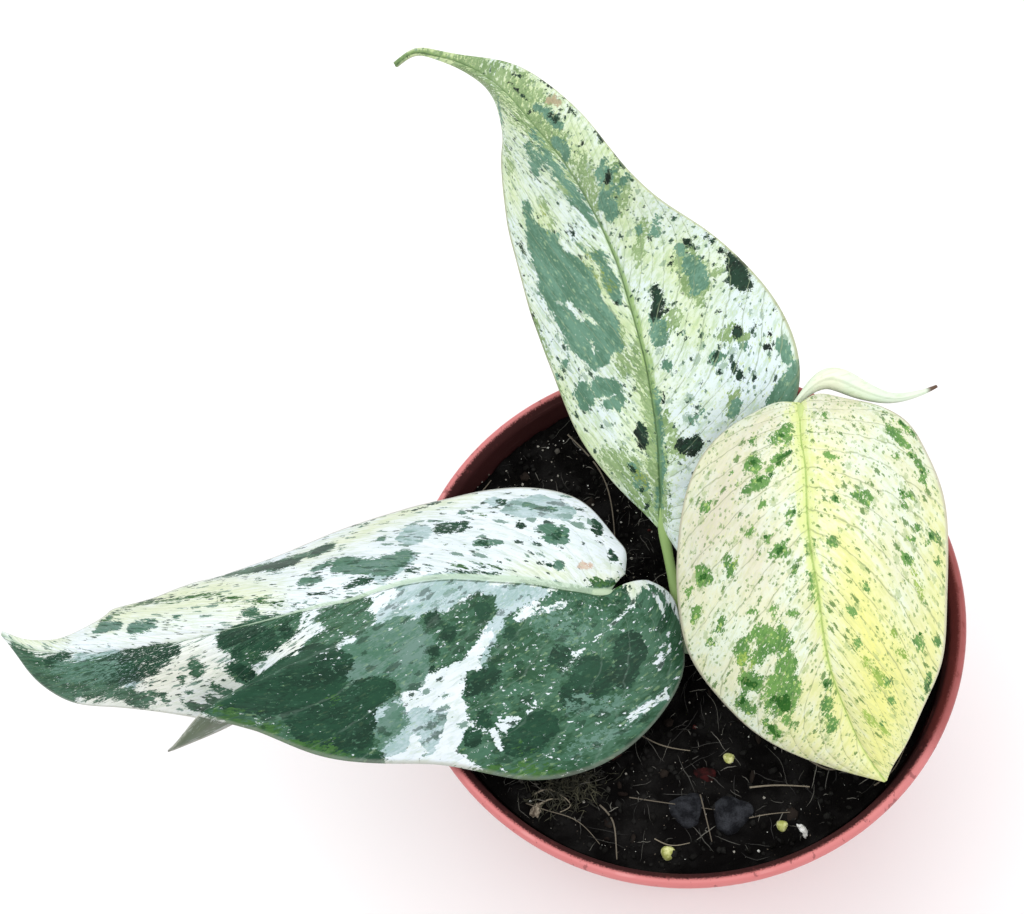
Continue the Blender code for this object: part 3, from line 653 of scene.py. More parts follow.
def along(route, radii, steps):
    """Route and radius read evenly along the route's length."""
    route = np.asarray(route, float)
    knots = travelled(route)
    data = spline(knots, np.column_stack([route, np.asarray(radii, float)]),
                  np.linspace(0.0, knots[-1], steps))
    return data[:, :3], data[:, 3]


def frames(path):
    """Two unit vectors square to the path at each point, carried along without twist."""
    tangent = unit(np.gradient(path, axis=0))
    side = np.zeros_like(path)
    start = np.cross(tangent[0], (0.0, 0.0, 1.0))
    if np.linalg.norm(start) < 0.2:
        start = np.cross(tangent[0], (0.0, 1.0, 0.0))
    side[0] = unit(start)
    for i in range(1, len(path)):
        side[i] = unit(side[i - 1] - tangent[i] * (side[i - 1] @ tangent[i]))
    return side, np.cross(tangent, side)


def stalk_shape(path, radius, sides, section=1.0):
    """Points, quads and triangles of a closed tube: rings square to the path, and two tips."""
    reach = radius[:, None] * np.ones(sides) * section
    points = path[:, None] + ring_round(*frames(path), sides) * reach[:, :, None]
    tips = [path[tip] + unit(path[tip] - path[inner]) * radius[tip] * tip_height
            for tip, inner in ((0, 1), (-1, -2))]
    return np.concatenate([points.reshape(-1, 3), tips]), *skin(len(path), sides)


def stem_finish():
    """Green living stem: lengthwise streaks, brown blotches and a slight gloss."""
    material, tree = new_finish("green stem")
    streak = noise(here(tree), (2600.0, 2600.0, 260.0), 3.0)
    patches, fine = grained(tree, patch=5.0, fine=0.3)
    tone = coated(blended(stepped(streak, 0.35, 0.65), (0.085, 0.140, 0.035), (0.20, 0.28, 0.09)),
                  (stepped(patches, 0.55, 0.75), (0.10, 0.075, 0.035)))
    return finished(material, tone, 0.38 + fine * 0.25, streak, depth=0.00012, strength=0.6)


path, _ = along(stem_route, np.zeros(len(stem_route)), stem_steps)
above = path[:, 2:] - np.array(stem_nodes)
swell = np.exp(-(above / swell_reach) ** 2).sum(axis=1)
scar = np.exp(-((above + scar_drop) / scar_reach) ** 2).sum(axis=1)
thickness = stem_radius + stem_swell * swell - scar_depth * scar
fit(put_mesh("cutting_stem", *stalk_shape(path, thickness, stem_sides)), stem_finish(),
    "vine_stem", "vine_stem")

# Long fibres
# Dry roots and stalks that lie across the soil where they can be seen, each a thin tapering tube
# over the ground, joined into one piece.
fibre_routes = (
    ((-21.9, -36.9), (-18.2, -38.8), (-12.4, -40.9), (-5.0, -44.3)),
    ((-7.8, -39.9), (-8.1, -44.1), (-8.5, -49.5)),
    ((-28.2, -36.2), (-26.6, -39.8), (-27.0, -43.9), (-27.9, -47.7)),
    ((-42.9, -31.6), (-38.5, -34.7), (-34.0, -37.7), (-30.4, -43.9)),
    ((-34.5, 42.5), (-33.3, 43.5), (-31.8, 44.5)),
    ((-11.2, 50.0), (-6.5, 38.7), (-6.7, 27.8), (-8.2, 20.4)),
    ((-0.7, -47.2), (4.4, -47.6), (8.4, -48.2)),
    ((-16.0, -24.5), (-12.6, -27.7), (-6.9, -30.5)),
    ((15.9, -39.3), (19.0, -42.4), (23.2, -42.6)),
    ((25.1, -37.7), (28.6, -39.8), (35.1, -39.6)),
    ((26.3, -47.8), (30.8, -46.1), (35.0, -42.2)),
    ((2.4, -41.2), (6.9, -41.8), (13.9, -44.5)),
    ((-19.4, -46.0), (-16.8, -47.8), (-12.8, -48.5)),
    ((-40.6, -30.4), (-38.4, -30.0), (-35.6, -31.9), (-34.1, -34.5), (-36.5, -35.3)),
    ((-40.2, -32.7), (-37.9, -32.3), (-34.9, -33.2)),
)
fibre_steps, fibre_sides, thickest, thicker_by = 24, 8, 0.13, 0.04
bodies, quads, ends, count = [], [], [], 0
for order, route in enumerate(fibre_routes):
    flat = np.asarray(route)
    level = ground(flat[:, 0], flat[:, 1]) + 0.6
    thick = thickest + thicker_by * (order % 3)
    path, radius = along(np.column_stack([flat, level]), np.full(len(flat), thick), fibre_steps)
    path[:, 2] = np.maximum(path[:, 2], ground(path[:, 0], path[:, 1]) + 0.5 * thick)
    radius = radius * np.linspace(1.0, 0.6, fibre_steps)
    points, sheet, tips = stalk_shape(path, radius, fibre_sides)
    bodies.append(points)
    quads.append(sheet + count)
    ends.append(tips + count)
    count += len(points)
long_fibres = put_mesh("long_fibres", *(np.concatenate(part) for part in (bodies, quads, ends)))
keep_fact(long_fibres, "shade", np.linspace(0.55, 1.0, count))
fit(long_fibres, strand_finish("pale dry root", (0.05, 0.038, 0.028), (0.26, 0.22, 0.16)), "soil")

# Moss
# A small tuft of brownish moss on the soil at the front left of the pot: short curled threads that
# point every way and stand closest in its middle, joined into one piece.
draw = np.random.default_rng(12)
tuft_count, tuft_centre, tuft_reach = 520, (-33.5, -30.0), 9.0
tuft = np.column_stack([tuft_centre[0] + draw.normal(0, 0.5, tuft_count) * tuft_reach * 0.8,
                        tuft_centre[1] + draw.normal(0, 0.5, tuft_count) * tuft_reach * 0.6])
thread_headings = draw.uniform(0, FULL_TURN, tuft_count)
thread_lengths, thread_radii, thread_lift = (draw.uniform(low, high, tuft_count) for low, high in
                                             ((1.2, 4.0), (0.05, 0.11), (0.2, 1.4)))
moss = strands("moss_tuft", tuft, thread_headings, thread_lengths, thread_radii,
               curl=0.35, lift=thread_lift, seed=13, steps=8, sides=4)
fit(moss, strand_finish("brownish moss", (0.012, 0.012, 0.006), (0.095, 0.09, 0.052)), "soil")

# Upper leaf
# The leaf that stands up and away from the pot. A satin blade about half a millimetre thick, with a
# sunk midrib, faint side veins and a slender stalk, grown as one piece and painted mint and green.
blade_thickness, edge_thickness = 0.7, 0.45
rib_depth, rib_reach, rib_start = 1.6, 1.3, 12.0
furrow_depth, furrow_reach = 0.35, 0.9
pleat_growth, cusp_growth, cusp_point, pleat_slant = 1.8, 5.0, 1.5, 2.5
crowding, wide_half, widest_share = 1.15, 25.0, 1.2
vein_swell, swell_from, dents_from, dented_half = 0.17, 5.0, 6.0, 12.0
dent_drifts = ((13.0, 0.30), (6.0, 0.12))
vein_slant, halves_apart = math.radians(42), 60.0
narrow_width, steady_reach, cut_edge = 9.0, 5.0, 0.12
stalk_steps, stalk_sides = 90, 20
# midrib, left margin and right margin at each rib of the blade, from its base to its tip
upper_ribs = (
    ((1.1, 11.9, 112), (0, 11.9, 111.6), (1.1, 10.8, 111.5)),
    ((1.5, 13.8, 113.2), (-2.2, 16.8, 112.2), (2.7, 6.1, 109.8)),
    ((2.5, 16.5, 114.7), (-5.2, 22.5, 113.1), (5.3, 2.2, 109.1)),
    ((3.3, 19.5, 117.6), (-8, 28.2, 115.3), (11.5, 4, 110.2)),
    ((4.5, 23.7, 120.8), (-10.4, 35.7, 117.6), (19.8, 10.4, 113.8)),
    ((5.8, 29.7, 124.5), (-11.5, 45.8, 120.5), (28.6, 19.6, 118.8)),
    ((6.8, 36.7, 128.8), (-12.1, 57.9, 123.8), (36, 27.5, 125.8)),
    ((7.3, 44.1, 133.7), (-12, 69.5, 126.7), (36.3, 42.9, 134.7)),
    ((7.5, 52.8, 137.5), (-11.6, 79.9, 129.5), (31.7, 49.9, 141.5)),
    ((7.3, 61.6, 141), (-10.7, 89.6, 133), (25.3, 57.2, 147.5)),
    ((6.1, 71.2, 144), (-8.8, 99.6, 136.5), (18.3, 63.8, 152)),
    ((4.3, 80, 146.5), (-7.5, 103.4, 138.5), (14, 71.8, 154.5)),
    ((1.5, 92.3, 146.3), (-6.6, 111.5, 139.3), (10.6, 87.8, 152.8)),
    ((-2, 105.2, 145.7), (-6.9, 119, 139.2), (5.9, 104.7, 149.2)),
    ((-5.6, 117.7, 143), (-9.2, 125.4, 138.5), (-1.1, 119.8, 145)),
    ((-10.7, 130.1, 139), (-12.6, 132, 136.7), (-9.1, 130.6, 140.2)),
    ((-16.6, 140.7, 134.2), (-17.3, 140.6, 133.3), (-15.8, 141.1, 135)),
    ((-21.7, 147.6, 129.8), (-21.9, 146.8, 129.4), (-21.4, 148.3, 130.2)),
    ((-26, 149.4, 126), (-25.9, 148.9, 125.6), (-26.2, 149.9, 126.4)),
)
upper_stalk = ((6.2, -10.1, 99.5), (3.6, -8.8, 99.9), (1, -6.3, 101), (-0.2, -2.7, 102.8),
               (0.1, 2.1, 105), (0.6, 7, 108.4), (1.2, 11.9, 111.5), (1.8, 15.3, 113.3))
upper_stalk_radii = (1.7, 1.5, 1.25, 1.1, 1.1, 1.1, 1.2, 0.8)
# marks: each kind has the reach of its ragged edge in millimetres, and strokes of x, y, radius in
# tenths of a millimetre, laid on the blade spread flat; soft kinds only tint the ground, and the
# strokes of cut keep the other kinds off
soft_kinds = ("tint", "blush")
upper_marks = {
    "sage": (2.2, (
        (-57, 856, 6, -61, 792, 17, -48, 730, 33, -32, 669, 54, -16, 618, 62, -7, 529, 57, -4, 482,
        36), (3, 668, 21, 26, 622, 33, 48, 564, 21, 54, 540, 12), (29, 502, 18, 29, 465, 15), (-4,
        972, 3, 10, 887, 6, 26, 820, 7, 43, 755, 6, 57, 692, 3), (-17, 955, 5, -11, 893, 11, -14,
        879, 6), (21, 1020, 6, 38, 967, 11, 52, 927, 5), (33, 907, 10, 48, 854, 12), (98, 759, 13,
        113, 732, 12), (87, 716, 13, 98, 689, 17), (121, 699, 8), (139, 626, 7), (166, 613, 12),
        (203, 562, 10), (215, 537, 15, 225, 504, 20, 214, 489, 12), (-67, 434, 17, -61, 412, 19),
        (-29, 421, 18, -14, 392, 30, 0, 371, 17), (-82, 499, 11), (-107, 488, 7), (349, 353, 13,
        354, 330, 10), (366, 308, 13, 342, 273, 29, 310, 262, 20), (234, 287, 7, 214, 267, 8),
        (156, 292, 7, 135, 279, 6), (115, 468, 12, 111, 435, 17), (114, 384, 11), (161, 428, 6),
        (218, 369, 14), (276, 374, 12), (130, 458, 8), (-12, 247, 8, 1, 204, 11), (75, 350, 8, 59,
        279, 8, 42, 209, 8, 18, 157, 8), (106, 716, 5, 134, 706, 5), (-52, 1118, 6, -60, 1075, 6))),
    "deep": (1.3, (
        (290, 508, 10, 298, 492, 20, 309, 474, 14), (276, 534, 4, 306, 508, 6), (136, 519, 10, 136,
        499, 13, 122, 480, 11), (144, 475, 6), (110, 466, 5), (25, 298, 14, 21, 269, 8), (94, 241,
        12, 107, 227, 8), (114, 247, 7, 130, 242, 13, 122, 227, 8), (268, 401, 12), (241, 355, 5,
        251, 323, 8), (215, 373, 8), (319, 361, 8), (19, 732, 5, 19, 714, 4), (-40, 996, 5), (108,
        737, 8), (41, 972, 5, 50, 944, 5), (112, 844, 4, 117, 813, 5), (127, 765, 4, 137, 727, 5),
        (80, 842, 5), (7, 1125, 2, -6, 1146, 3), (2, 1014, 4), (47, 1037, 4), (78, 986, 5), (214,
        573, 3, 230, 555, 3), (256, 560, 3, 265, 552, 3), (-122, 638, 4, -122, 616, 3), (-94, 792,
        3, -95, 763, 4), (-109, 727, 4), (-15, 249, 4, -8, 231, 5), (-2, 201, 5), (-5, 168, 5),
        (277, 313, 5), (202, 365, 5), (214, 342, 3), (124, 368, 4), (163, 398, 4), (184, 550, 4),
        (294, 440, 5), (247, 446, 4), (315, 405, 5), (330, 380, 5), (360, 421, 4), (87, 338, 4, 85,
        328, 3), (-103, 488, 5), (54, 534, 5), (-18, 1131, 2, -10, 1096, 2, 4, 1050, 2), (49, 1074,
        2, 63, 1035, 2), (77, 962, 2, 86, 928, 2))),
    "cut": (1.4, (
        (-40, 841, 5, -37, 807, 11, -28, 763, 7), (21, 669, 8, 37, 613, 7, 38, 557, 8, 49, 507, 8),
        (-54, 621, 4, -31, 592, 8, -18, 559, 8, 9, 524, 3), (-15, 695, 2, -1, 717, 5), (-14, 506,
        3, -14, 485, 4), (-35, 395, 6, -3, 386, 5), (-9, 723, 10, 19, 666, 10), (-36, 830, 8, -28,
        776, 8), (9, 798, 6, 24, 728, 7, 32, 675, 6))),
    "tint": (9.0, (
        (-10, 1114, 54, 23, 966, 42, 72, 811, 30), (120, 789, 30, 132, 699, 24), (-41, 810, 24,
        -29, 752, 15), (26, 648, 18, 39, 574, 21, 52, 483, 27, 57, 406, 27, 45, 317, 24, 21, 229,
        24), (107, 707, 24, 116, 631, 24, 141, 572, 24), (187, 544, 36, 219, 490, 30), (-76, 973,
        18, -77, 892, 15), (-115, 463, 15, -100, 342, 21, -66, 251, 21), (193, 431, 30), (52, 372,
        18), (-260, 1510, 40, -169, 1418, 50, -80, 1260, 50))),
    "blush": (9.0, (
        (271, 316, 83, 242, 394, 59, 310, 400, 54), (74, 187, 36, 122, 264, 36), (96, 544, 36, 150,
        594, 30), (36, 710, 36, 60, 645, 24))),
    "rust": (1.0, (
        (51, 1009, 10, 63, 986, 8),)),
    "green": (2.4, (
        (-265, 1514, 14, -232, 1486, 9), (-190, 1442, 5, -145, 1380, 7), (-108, 1318, 18, -62,
        1222, 30, -21, 1125, 30, 9, 1045, 21), (-21, 1081, 14, 7, 982, 21, 30, 890, 21), (58, 832,
        15, 73, 767, 15, 78, 720, 11), (111, 736, 18, 123, 685, 14), (59, 437, 10, 55, 335, 14, 35,
        222, 20, 20, 146, 18), (-51, 298, 14, -22, 234, 24, -5, 169, 21), (210, 550, 24, 217, 507,
        30, 216, 474, 14), (73, 286, 20, 87, 226, 14), (119, 448, 15, 159, 464, 14), (-122, 645, 7,
        -119, 528, 6), (23, 674, 14, 45, 589, 14, 40, 531, 12), (-25, 821, 15, -26, 762, 11), (30,
        485, 14, 31, 415, 12), (139, 626, 12, 124, 589, 10), (213, 412, 15, 290, 391, 12), (-118,
        519, 6, -111, 446, 6), (236, 291, 10, 212, 268, 8), (262, 504, 10), (48, 764, 8, 21, 827,
        6), (-66, 1013, 8, -66, 949, 8), (2, 1168, 15, 15, 1118, 13, 31, 1059, 10, 42, 1001, 7),
        (-16, 1204, 12, 0, 1180, 8))),
    "lime": (2.0, (
        (-31, 813, 7, -30, 766, 6), (28, 658, 6, 39, 611, 7, 48, 564, 6), (-8, 231, 5, 4, 203, 5))),
}


def eased(moves, place, point=0.0):
    """Offsets given at some places, eased from each to the next, with none before or after them.

    A point greater than nothing makes each highest offset a pointed one: the way to that power.
    """
    if not moves:
        return np.zeros((len(place), 3))
    given = np.array([where for where, _ in moves], float)
    offset = np.array([move for _, move in moves], float)
    k = np.clip(np.searchsorted(given, place, side="right") - 1, 0, len(given) - 2)
    part = np.clip((place - given[k]) / (given[k + 1] - given[k]), 0.0, 1.0)[:, None]
    if point:
        far = np.linalg.norm(offset, axis=1)
        part = np.where((far[k] < far[k + 1])[:, None], part ** point, 1 - (1 - part) ** point)
    else:
        part = part * part * (3 - 2 * part)
    return offset[k] * (1 - part) + offset[k + 1] * part


def rib_curves(ribs, pleat, cusp, steps):
    """Midrib and margins at places, counted in rows, even along whichever curve moves most."""
    rows = len(ribs)
    knots = travelled(ribs)

    def read(place):
        where = np.interp(place, np.arange(rows), knots)
        return spline(knots, ribs.reshape(rows, 9), where).reshape(-1, 3, 3)

    fine = np.linspace(0, rows - 1, 40 * rows)
    curves = read(fine)
    curves[:, 1] += eased(pleat, fine) + eased(cusp, fine)
    travel = travelled(curves)
    place = np.interp(np.linspace(0.0, travel[-1], steps), travel, fine)
    return place, read(place).transpose(1, 0, 2)


def blade(ribs, steps, half_columns, crown, wave, waves, vein_gap, sweep, seed, pleat=(),
          cusp=()):
    """Middle surface of a blade and what is known at each of its points.

    A row of the grid runs from the left margin over the midrib to the right margin. Each half
    arches up by the crown, the margin goes up and down by the wave in that many waves, and the
    pleat and its cusp move the left half by their offsets times the way out to a power. Side
    veins stand vein_gap millimetres apart on the midrib and run forward by sweep ribs on their
    way out; between two of them the blade swells a little.
    """
    place, (midrib, left, right) = rib_curves(np.asarray(ribs, float), pleat, cusp, steps)
    out = np.linspace(0.0, 1.0, half_columns + 1) ** crowding
    out = np.concatenate([-out[:0:-1], out])
    way, on_left = np.abs(out)[None, :, None], (out < 0)[None, :, None]
    margin = np.where(on_left, left[:, None], right[:, None])
    flat = midrib[:, None] * (1 - way) + margin * way
    reach = steps // 8
    ahead = np.pad(midrib, ((0, reach), (0, 0)), mode="edge")[reach:]
    behind = np.pad(midrib, ((reach, 0), (0, 0)), mode="edge")[:steps]
    up = unit(np.cross(right - left, ahead - behind))
    width = np.linalg.norm(margin - midrib[:, None], axis=2, keepdims=True)
    broad = np.clip(width / wide_half, 0.0, widest_share)
    ripple = np.sin(np.linspace(0, 1, steps) * FULL_TURN * waves)[:, None, None]
    rise = crown * 4 * way * (1 - way) + wave * ripple * way ** 3 * np.sign(out)[None, :, None]
    fold_place = (place[:, None] + pleat_slant * (1 - np.abs(out)[None, :])).ravel()
    fold = eased(pleat, fold_place).reshape(flat.shape) * way ** pleat_growth
    fold = fold + eased(cusp, place, cusp_point)[:, None] * way ** cusp_growth
    fold = np.where(on_left, fold, 0.0)
    way, width = way[..., 0], width[..., 0]
    # distance along the midrib of the side vein through each point, and distance from the midrib
    length = travelled(midrib)
    vein_place = place[:, None] + sweep * (1 - way)
    vein = np.interp(vein_place, place, length)
    vein = vein + np.maximum(vein_place - place[-1], 0) * length[-1] / place[-1]
    beside = way * width * np.sign(out)[None]
    # the same place turned so that one number runs along the side veins and one across them
    aside = np.abs(beside)
    across = length[:, None] * math.cos(vein_slant) - aside * math.sin(vein_slant)
    across = across + halves_apart * (out < 0)[None]
    outward = length[:, None] * math.sin(vein_slant) + aside * math.cos(vein_slant)
    ridge = np.abs(np.sin(math.pi * vein / vein_gap)) ** 0.7 - 0.6
    ridge = ridge * np.clip(aside / swell_from, 0, 1) * np.clip((1 - way) * 4, 0, 1)
    dents = sum(drift(flat[..., 0], flat[..., 1], size, seed + k) * depth
                for k, (size, depth) in enumerate(dent_drifts))
    dents = dents * np.clip(aside / dents_from, 0, 1) * np.clip(width / dented_half, 0, 1)
    middle = flat + up[:, None] * (rise * broad + (vein_swell * ridge + dents)[..., None]) + fold
    return {"middle": middle, "spread": flat[..., :2],
            "facts": {"vein": vein, "beside": beside, "across": across, "outward": outward,
                      "edge": np.broadcast_to(way, vein.shape)}}


def steadied(middle, normal):
    """Unit normals, made alike across the blade's narrow rows and round its base and its tip."""
    normal = unit(normal)
    width = np.linalg.norm(middle[:, -1] - middle[:, 0], axis=1)[:, None, None]
    narrow = np.exp(-(width / narrow_width) ** 2)
    normal = normal * (1 - narrow) + normal.mean(axis=1, keepdims=True) * narrow
    centre = middle.shape[1] // 2
    few = max(6, len(middle) // 12)
    for row, ends in ((0, slice(0, few)), (-1, slice(-few, None))):
        away = np.linalg.norm(middle - middle[row, centre], axis=2)
        near = np.clip(1.6 - away / steady_reach, 0, 1)[..., None]
        normal = normal * (1 - near) + normal[ends, centre].mean(axis=0) * near
    return unit(normal)


def strokes_field(spread, strokes, reach):
    """How far each point lies inside the nearest stroke, over the reach, from -1 to 1.

    A stroke is a chain of x, y, radius, x, y, radius and so on, in tenths of a millimetre; its
    edge is the radius, carried evenly from each point of the chain to the next.
    """
    inside = np.full(spread.shape[:-1], -1e3)
    for stroke in strokes:
        chain = np.reshape(stroke if len(stroke) > 3 else stroke * 2, (-1, 3)) / 10
        for a, b in zip(chain[:-1], chain[1:]):
            span = b[:2] - a[:2]
            part = np.clip(((spread - a[:2]) @ span) / max(span @ span, 1e-9), 0, 1)
            away = np.linalg.norm(spread - a[:2] - part[..., None] * span, axis=-1)
            inside = np.maximum(inside, a[2] + (b[2] - a[2]) * part - away)
    return np.clip(inside / reach, -1, 1)


def leaf_mesh(name, shape, stalk, stalk_radii, marks):
    """Closed blade with a furrow over its midrib and the rib under it, and its stalk, as one piece.

    Each point keeps its place along and across the veins, whether it is under the blade or on
    the stalk, and how far inside each kind of mark it lies.
    """
    middle, facts = shape["middle"], shape["facts"]
    beside, way = facts["beside"], facts["edge"]
    steps, columns = beside.shape
    normal = steadied(middle, np.cross(np.gradient(middle, axis=1), np.gradient(middle, axis=0)))
    part = np.linspace(0, 1, steps)[:, None]
    fade = np.clip(part * rib_start, 0, 1) ** 2 * (1 - part) ** 0.8
    half = (blade_thickness + (edge_thickness - blade_thickness) * way ** 6) / 2
    furrow = furrow_depth * fade * np.exp(-(beside / furrow_reach) ** 2)
    rib = rib_depth * fade * np.exp(-(beside / rib_reach) ** 2)
    top = middle + normal * (half - furrow)[..., None]
    bottom = middle - normal * (half + rib)[..., None]
    below = steps * columns
    quads = net(steps, columns, closed=False)
    grid = np.arange(below).reshape(steps, columns)
    edge = np.concatenate([grid[0], grid[1:, -1], grid[-1, -2::-1], grid[-2:0:-1, 0]])
    after = np.roll(edge, -1)
    wall = np.stack([after, edge, below + edge, below + after], axis=-1)
    tube, tube_quads, tube_ends = stalk_shape(*along(stalk, stalk_radii, stalk_steps), stalk_sides)
    piece = put_mesh(name, np.concatenate([top.reshape(-1, 3), bottom.reshape(-1, 3), tube]),
                     np.concatenate([quads, quads[:, ::-1] + below, wall, tube_quads + 2 * below]),
                     tube_ends + 2 * below)
    fields = {kind: strokes_field(shape["spread"], strokes, reach)
              for kind, (reach, strokes) in marks.items()}
    clear = fields.pop("cut")
    for kind, values in fields.items():
        fields[kind] = values if kind in soft_kinds else np.minimum(values, cut_edge - clear)
    # what is kept of each point on the upper side, on the underside and on the stalk
    kept = {label: (values.ravel(), values.ravel(), 0) for label, values in facts.items()}
    kept.update({kind: (values.ravel(), values.ravel(), -1) for kind, values in fields.items()})
    kept.update(under=(0, 1, 0), stalk=(0, 0, 1))
    for label, values in kept.items():
        keep_fact(piece, label, np.concatenate([np.broadcast_to(value, size) for value, size in
                                                zip(values, (below, below, len(tube)))]))
    return piece


def border_group():
    """Mask of one kind of mark: how far inside, moved in and out by noise along the veins."""
    group, (inside, across, outward, size, stretch, ragged, holes, seed), out = new_group(
        "ragged border", {"Inside": 0.0, "Across": 0.0, "Outward": 0.0, "Size": 2.0, "Stretch": 2.0,
                          "Raggedness": 1.0, "Holes": 0.0, "Seed": 0.0}, ("Mask",))
    place = joined(across / size, outward / (size * stretch), seed)
    shift = (noise(place, 0.6, 5.0, 0.68) - 0.5) * 3.0 + (noise(place, 3.4, 2.0, 0.6) - 0.5) * 1.3
    pits = stepped(noise(place, 2.0, 4.0, 0.7) - (0.74 - holes * 0.18), 0.0, 0.03)
    mask = stepped(inside + shift * ragged, -0.05, 0.05) * (1.0 - pits)
    group.links.new(mask.socket, out["Mask"])
    return group


def speck_group():
    """Mask of small loose specks: one ragged dot of random size in some cells of a loose net."""
    group, (across, outward, spacing, stretch, amount, biggest, seed), out = new_group(
        "specks", {"Across": 0.0, "Outward": 0.0, "Spacing": 1.0, "Stretch": 1.6, "Amount": 0.3,
                   "Biggest": 0.4, "Seed": 0.0}, ("Mask",))
    place = joined(across / spacing + seed, outward / (spacing * stretch))
    colour, away = node(group, "TexVoronoi", {"Vector": place, "Scale": 1.0},
                        ("Color", "Distance"), voronoi_dimensions="2D")
    chance, size = node(group, "SeparateColor", {0: colour}, (0, 1))
    held = maths("LESS_THAN", chance, amount + (noise(place, 0.16, 2.0) - 0.5) * 0.9)
    radius = biggest * (0.3 + size * (size * 0.7))
    away = away + (noise(place, 2.9, 4.0, 0.75) - 0.5) * 1.5
    mask = stepped(radius - away, -0.02, 0.04) * held
    group.links.new(mask.socket, out["Mask"])
    return group


border, specks = border_group(), speck_group()


def leaf_finish(name, layers, speckles, vein_gap, rib_width, *, clear, cool, tint, blush, mist,
                veil, flecks, crowd, vein_tone, vein_share, rib_tone, rib_share, rib_end,
                halo_tone, halo_width, halo_broken, halo_share, rib_shade_tone, rib_shade_at, rim_tone,
                under_tone, stalk_tone):
    """Living satin blade: mottled ground, marks in layers, loose specks, veins, edge, underside.

    Layers are (kind, (tone, other tone), size, stretch, raggedness, holes) from the lowest up, and
    speckles are (tone, spacing, stretch, amount, biggest, strength, whether they lie on the marks).
    """
    material, tree = new_finish(name)
    vein, beside, edge, across, outward = (
        fact(tree, label) for label in ("vein", "beside", "edge", "across", "outward"))
    aside = maths("ABSOLUTE", beside)
    seat = {"Across": across, "Outward": outward}

    def streaks(outward_scale, across_scale, detail, seed):
        place = joined(across * across_scale, outward * outward_scale, seed)
        return noise(place, 1.0, detail, 0.65)

    def shifted(inside, cloud, depth):
        return inside + (cloud - 0.5) * depth

    mottle, broad, fine = (streaks(0.28, 1.1, 4.0, 0.0), streaks(0.10, 0.22, 3.0, 4.0),
                           streaks(1.1, 2.6, 3.0, 9.0))
    rib_streaks = noise(joined(vein * 0.16, beside * 0.9), 1.0, 3.0, 0.65)
    fade = (1.0 - vein / rib_end).clamped()
    halo = shifted(aside / (0.5 + fade * halo_width), rib_streaks, halo_broken)
    tone = coated(
        blended(stepped(broad, 0.38, 0.62), clear, cool),
        (stepped(shifted(fact(tree, "blush"), mottle, 1.6), -0.7, 0.9), blush),
        (stepped(shifted(fact(tree, "tint"), mottle, 2.2), -0.7, 0.9), tint),
        (stepped(shifted(mottle, fine, 0.35), 0.46, 0.62) * veil, mist),
        (stepped(fine, 0.56, 0.64) * flecks, tint),
        (stepped(halo, 1.3, 0.3) * halo_share, halo_tone))
    marked, near, dark = 0.0, 0.0, 0.0
    for order, (kind, (shade, other), size, stretch, ragged, holes) in enumerate(layers):
        mask = node(tree, "Group", {**seat, "Inside": fact(tree, kind), "Size": size,
                                    "Stretch": stretch, "Raggedness": ragged, "Holes": holes,
                                    "Seed": 7.0 * order + 1.0}, node_tree=border)
        shade = blended(stepped(shifted(broad, fine, 0.7), 0.36, 0.64), shade, other)
        tone = blended(mask, tone, shade)
        marked = maths("MAXIMUM", marked, mask)
        dark = mask if kind == "deep" else dark
        near = maths("MAXIMUM", near, stepped(fact(tree, kind), -0.95, 0.2))
    bare = 1.0 - marked
    pale_place = marked * (1.0 - dark * 0.8)
    for order, (dot, spacing, stretch, amount, biggest, strength, on_marks) in enumerate(speckles):
        mask = node(tree, "Group", {**seat, "Spacing": spacing, "Stretch": stretch,
                                    "Amount": amount + near * crowd, "Biggest": biggest,
                                    "Seed": 5.0 * order + 2.0}, node_tree=specks)
        tone = blended(mask * (pale_place if on_marks else bare) * strength, tone, dot)
    # side veins: a thin line at every vein, broken where the noise along it is low
    line = maths("FRACT", vein / vein_gap + (broad - 0.5) * 0.7)
    line = stepped(maths("ABSOLUTE", line - 0.5), 0.450, 0.494) * stepped(mottle, 0.30, 0.56)
    rib = stepped(shifted(0.25 + fade * rib_width - aside, mottle, 0.7), -0.2, 0.2)
    # painted shade: a thin dark line along the sunk midrib, on it or just beside it, where its
    # groove is in shade
    rib_shade_line = stepped(maths("ABSOLUTE", beside + rib_shade_at), 0.32, 0.10) * stepped(mottle, 0.30, 0.50)
    rim = stepped(shifted(edge, mottle, 0.02), 0.972, 0.992) * (0.25 + bare * 0.6)
    tone = coated(tone, (line * vein_share, vein_tone), (rib * rib_share, rib_tone),
                  (rib_shade_line * 0.7, rib_shade_tone), (rim, rim_tone))
    tone = coated(tone, (stepped(fact(tree, "under"), 0.4, 0.6), blended(0.65, tone, under_tone)),
                  (stepped(fact(tree, "stalk"), 0.4, 0.6),
                   blended(stepped(mottle, 0.4, 0.6), stalk_tone, halo_tone)))
    cells = noise(here(tree), 2600.0, 2.0)
    return finished(material, tone, 0.42 + cells * 0.16 - marked * 0.05,
                    cells * 0.30 + mottle * 0.9 - line * 0.8,
                    depth=0.00012, strength=0.6, gloss=0.2)


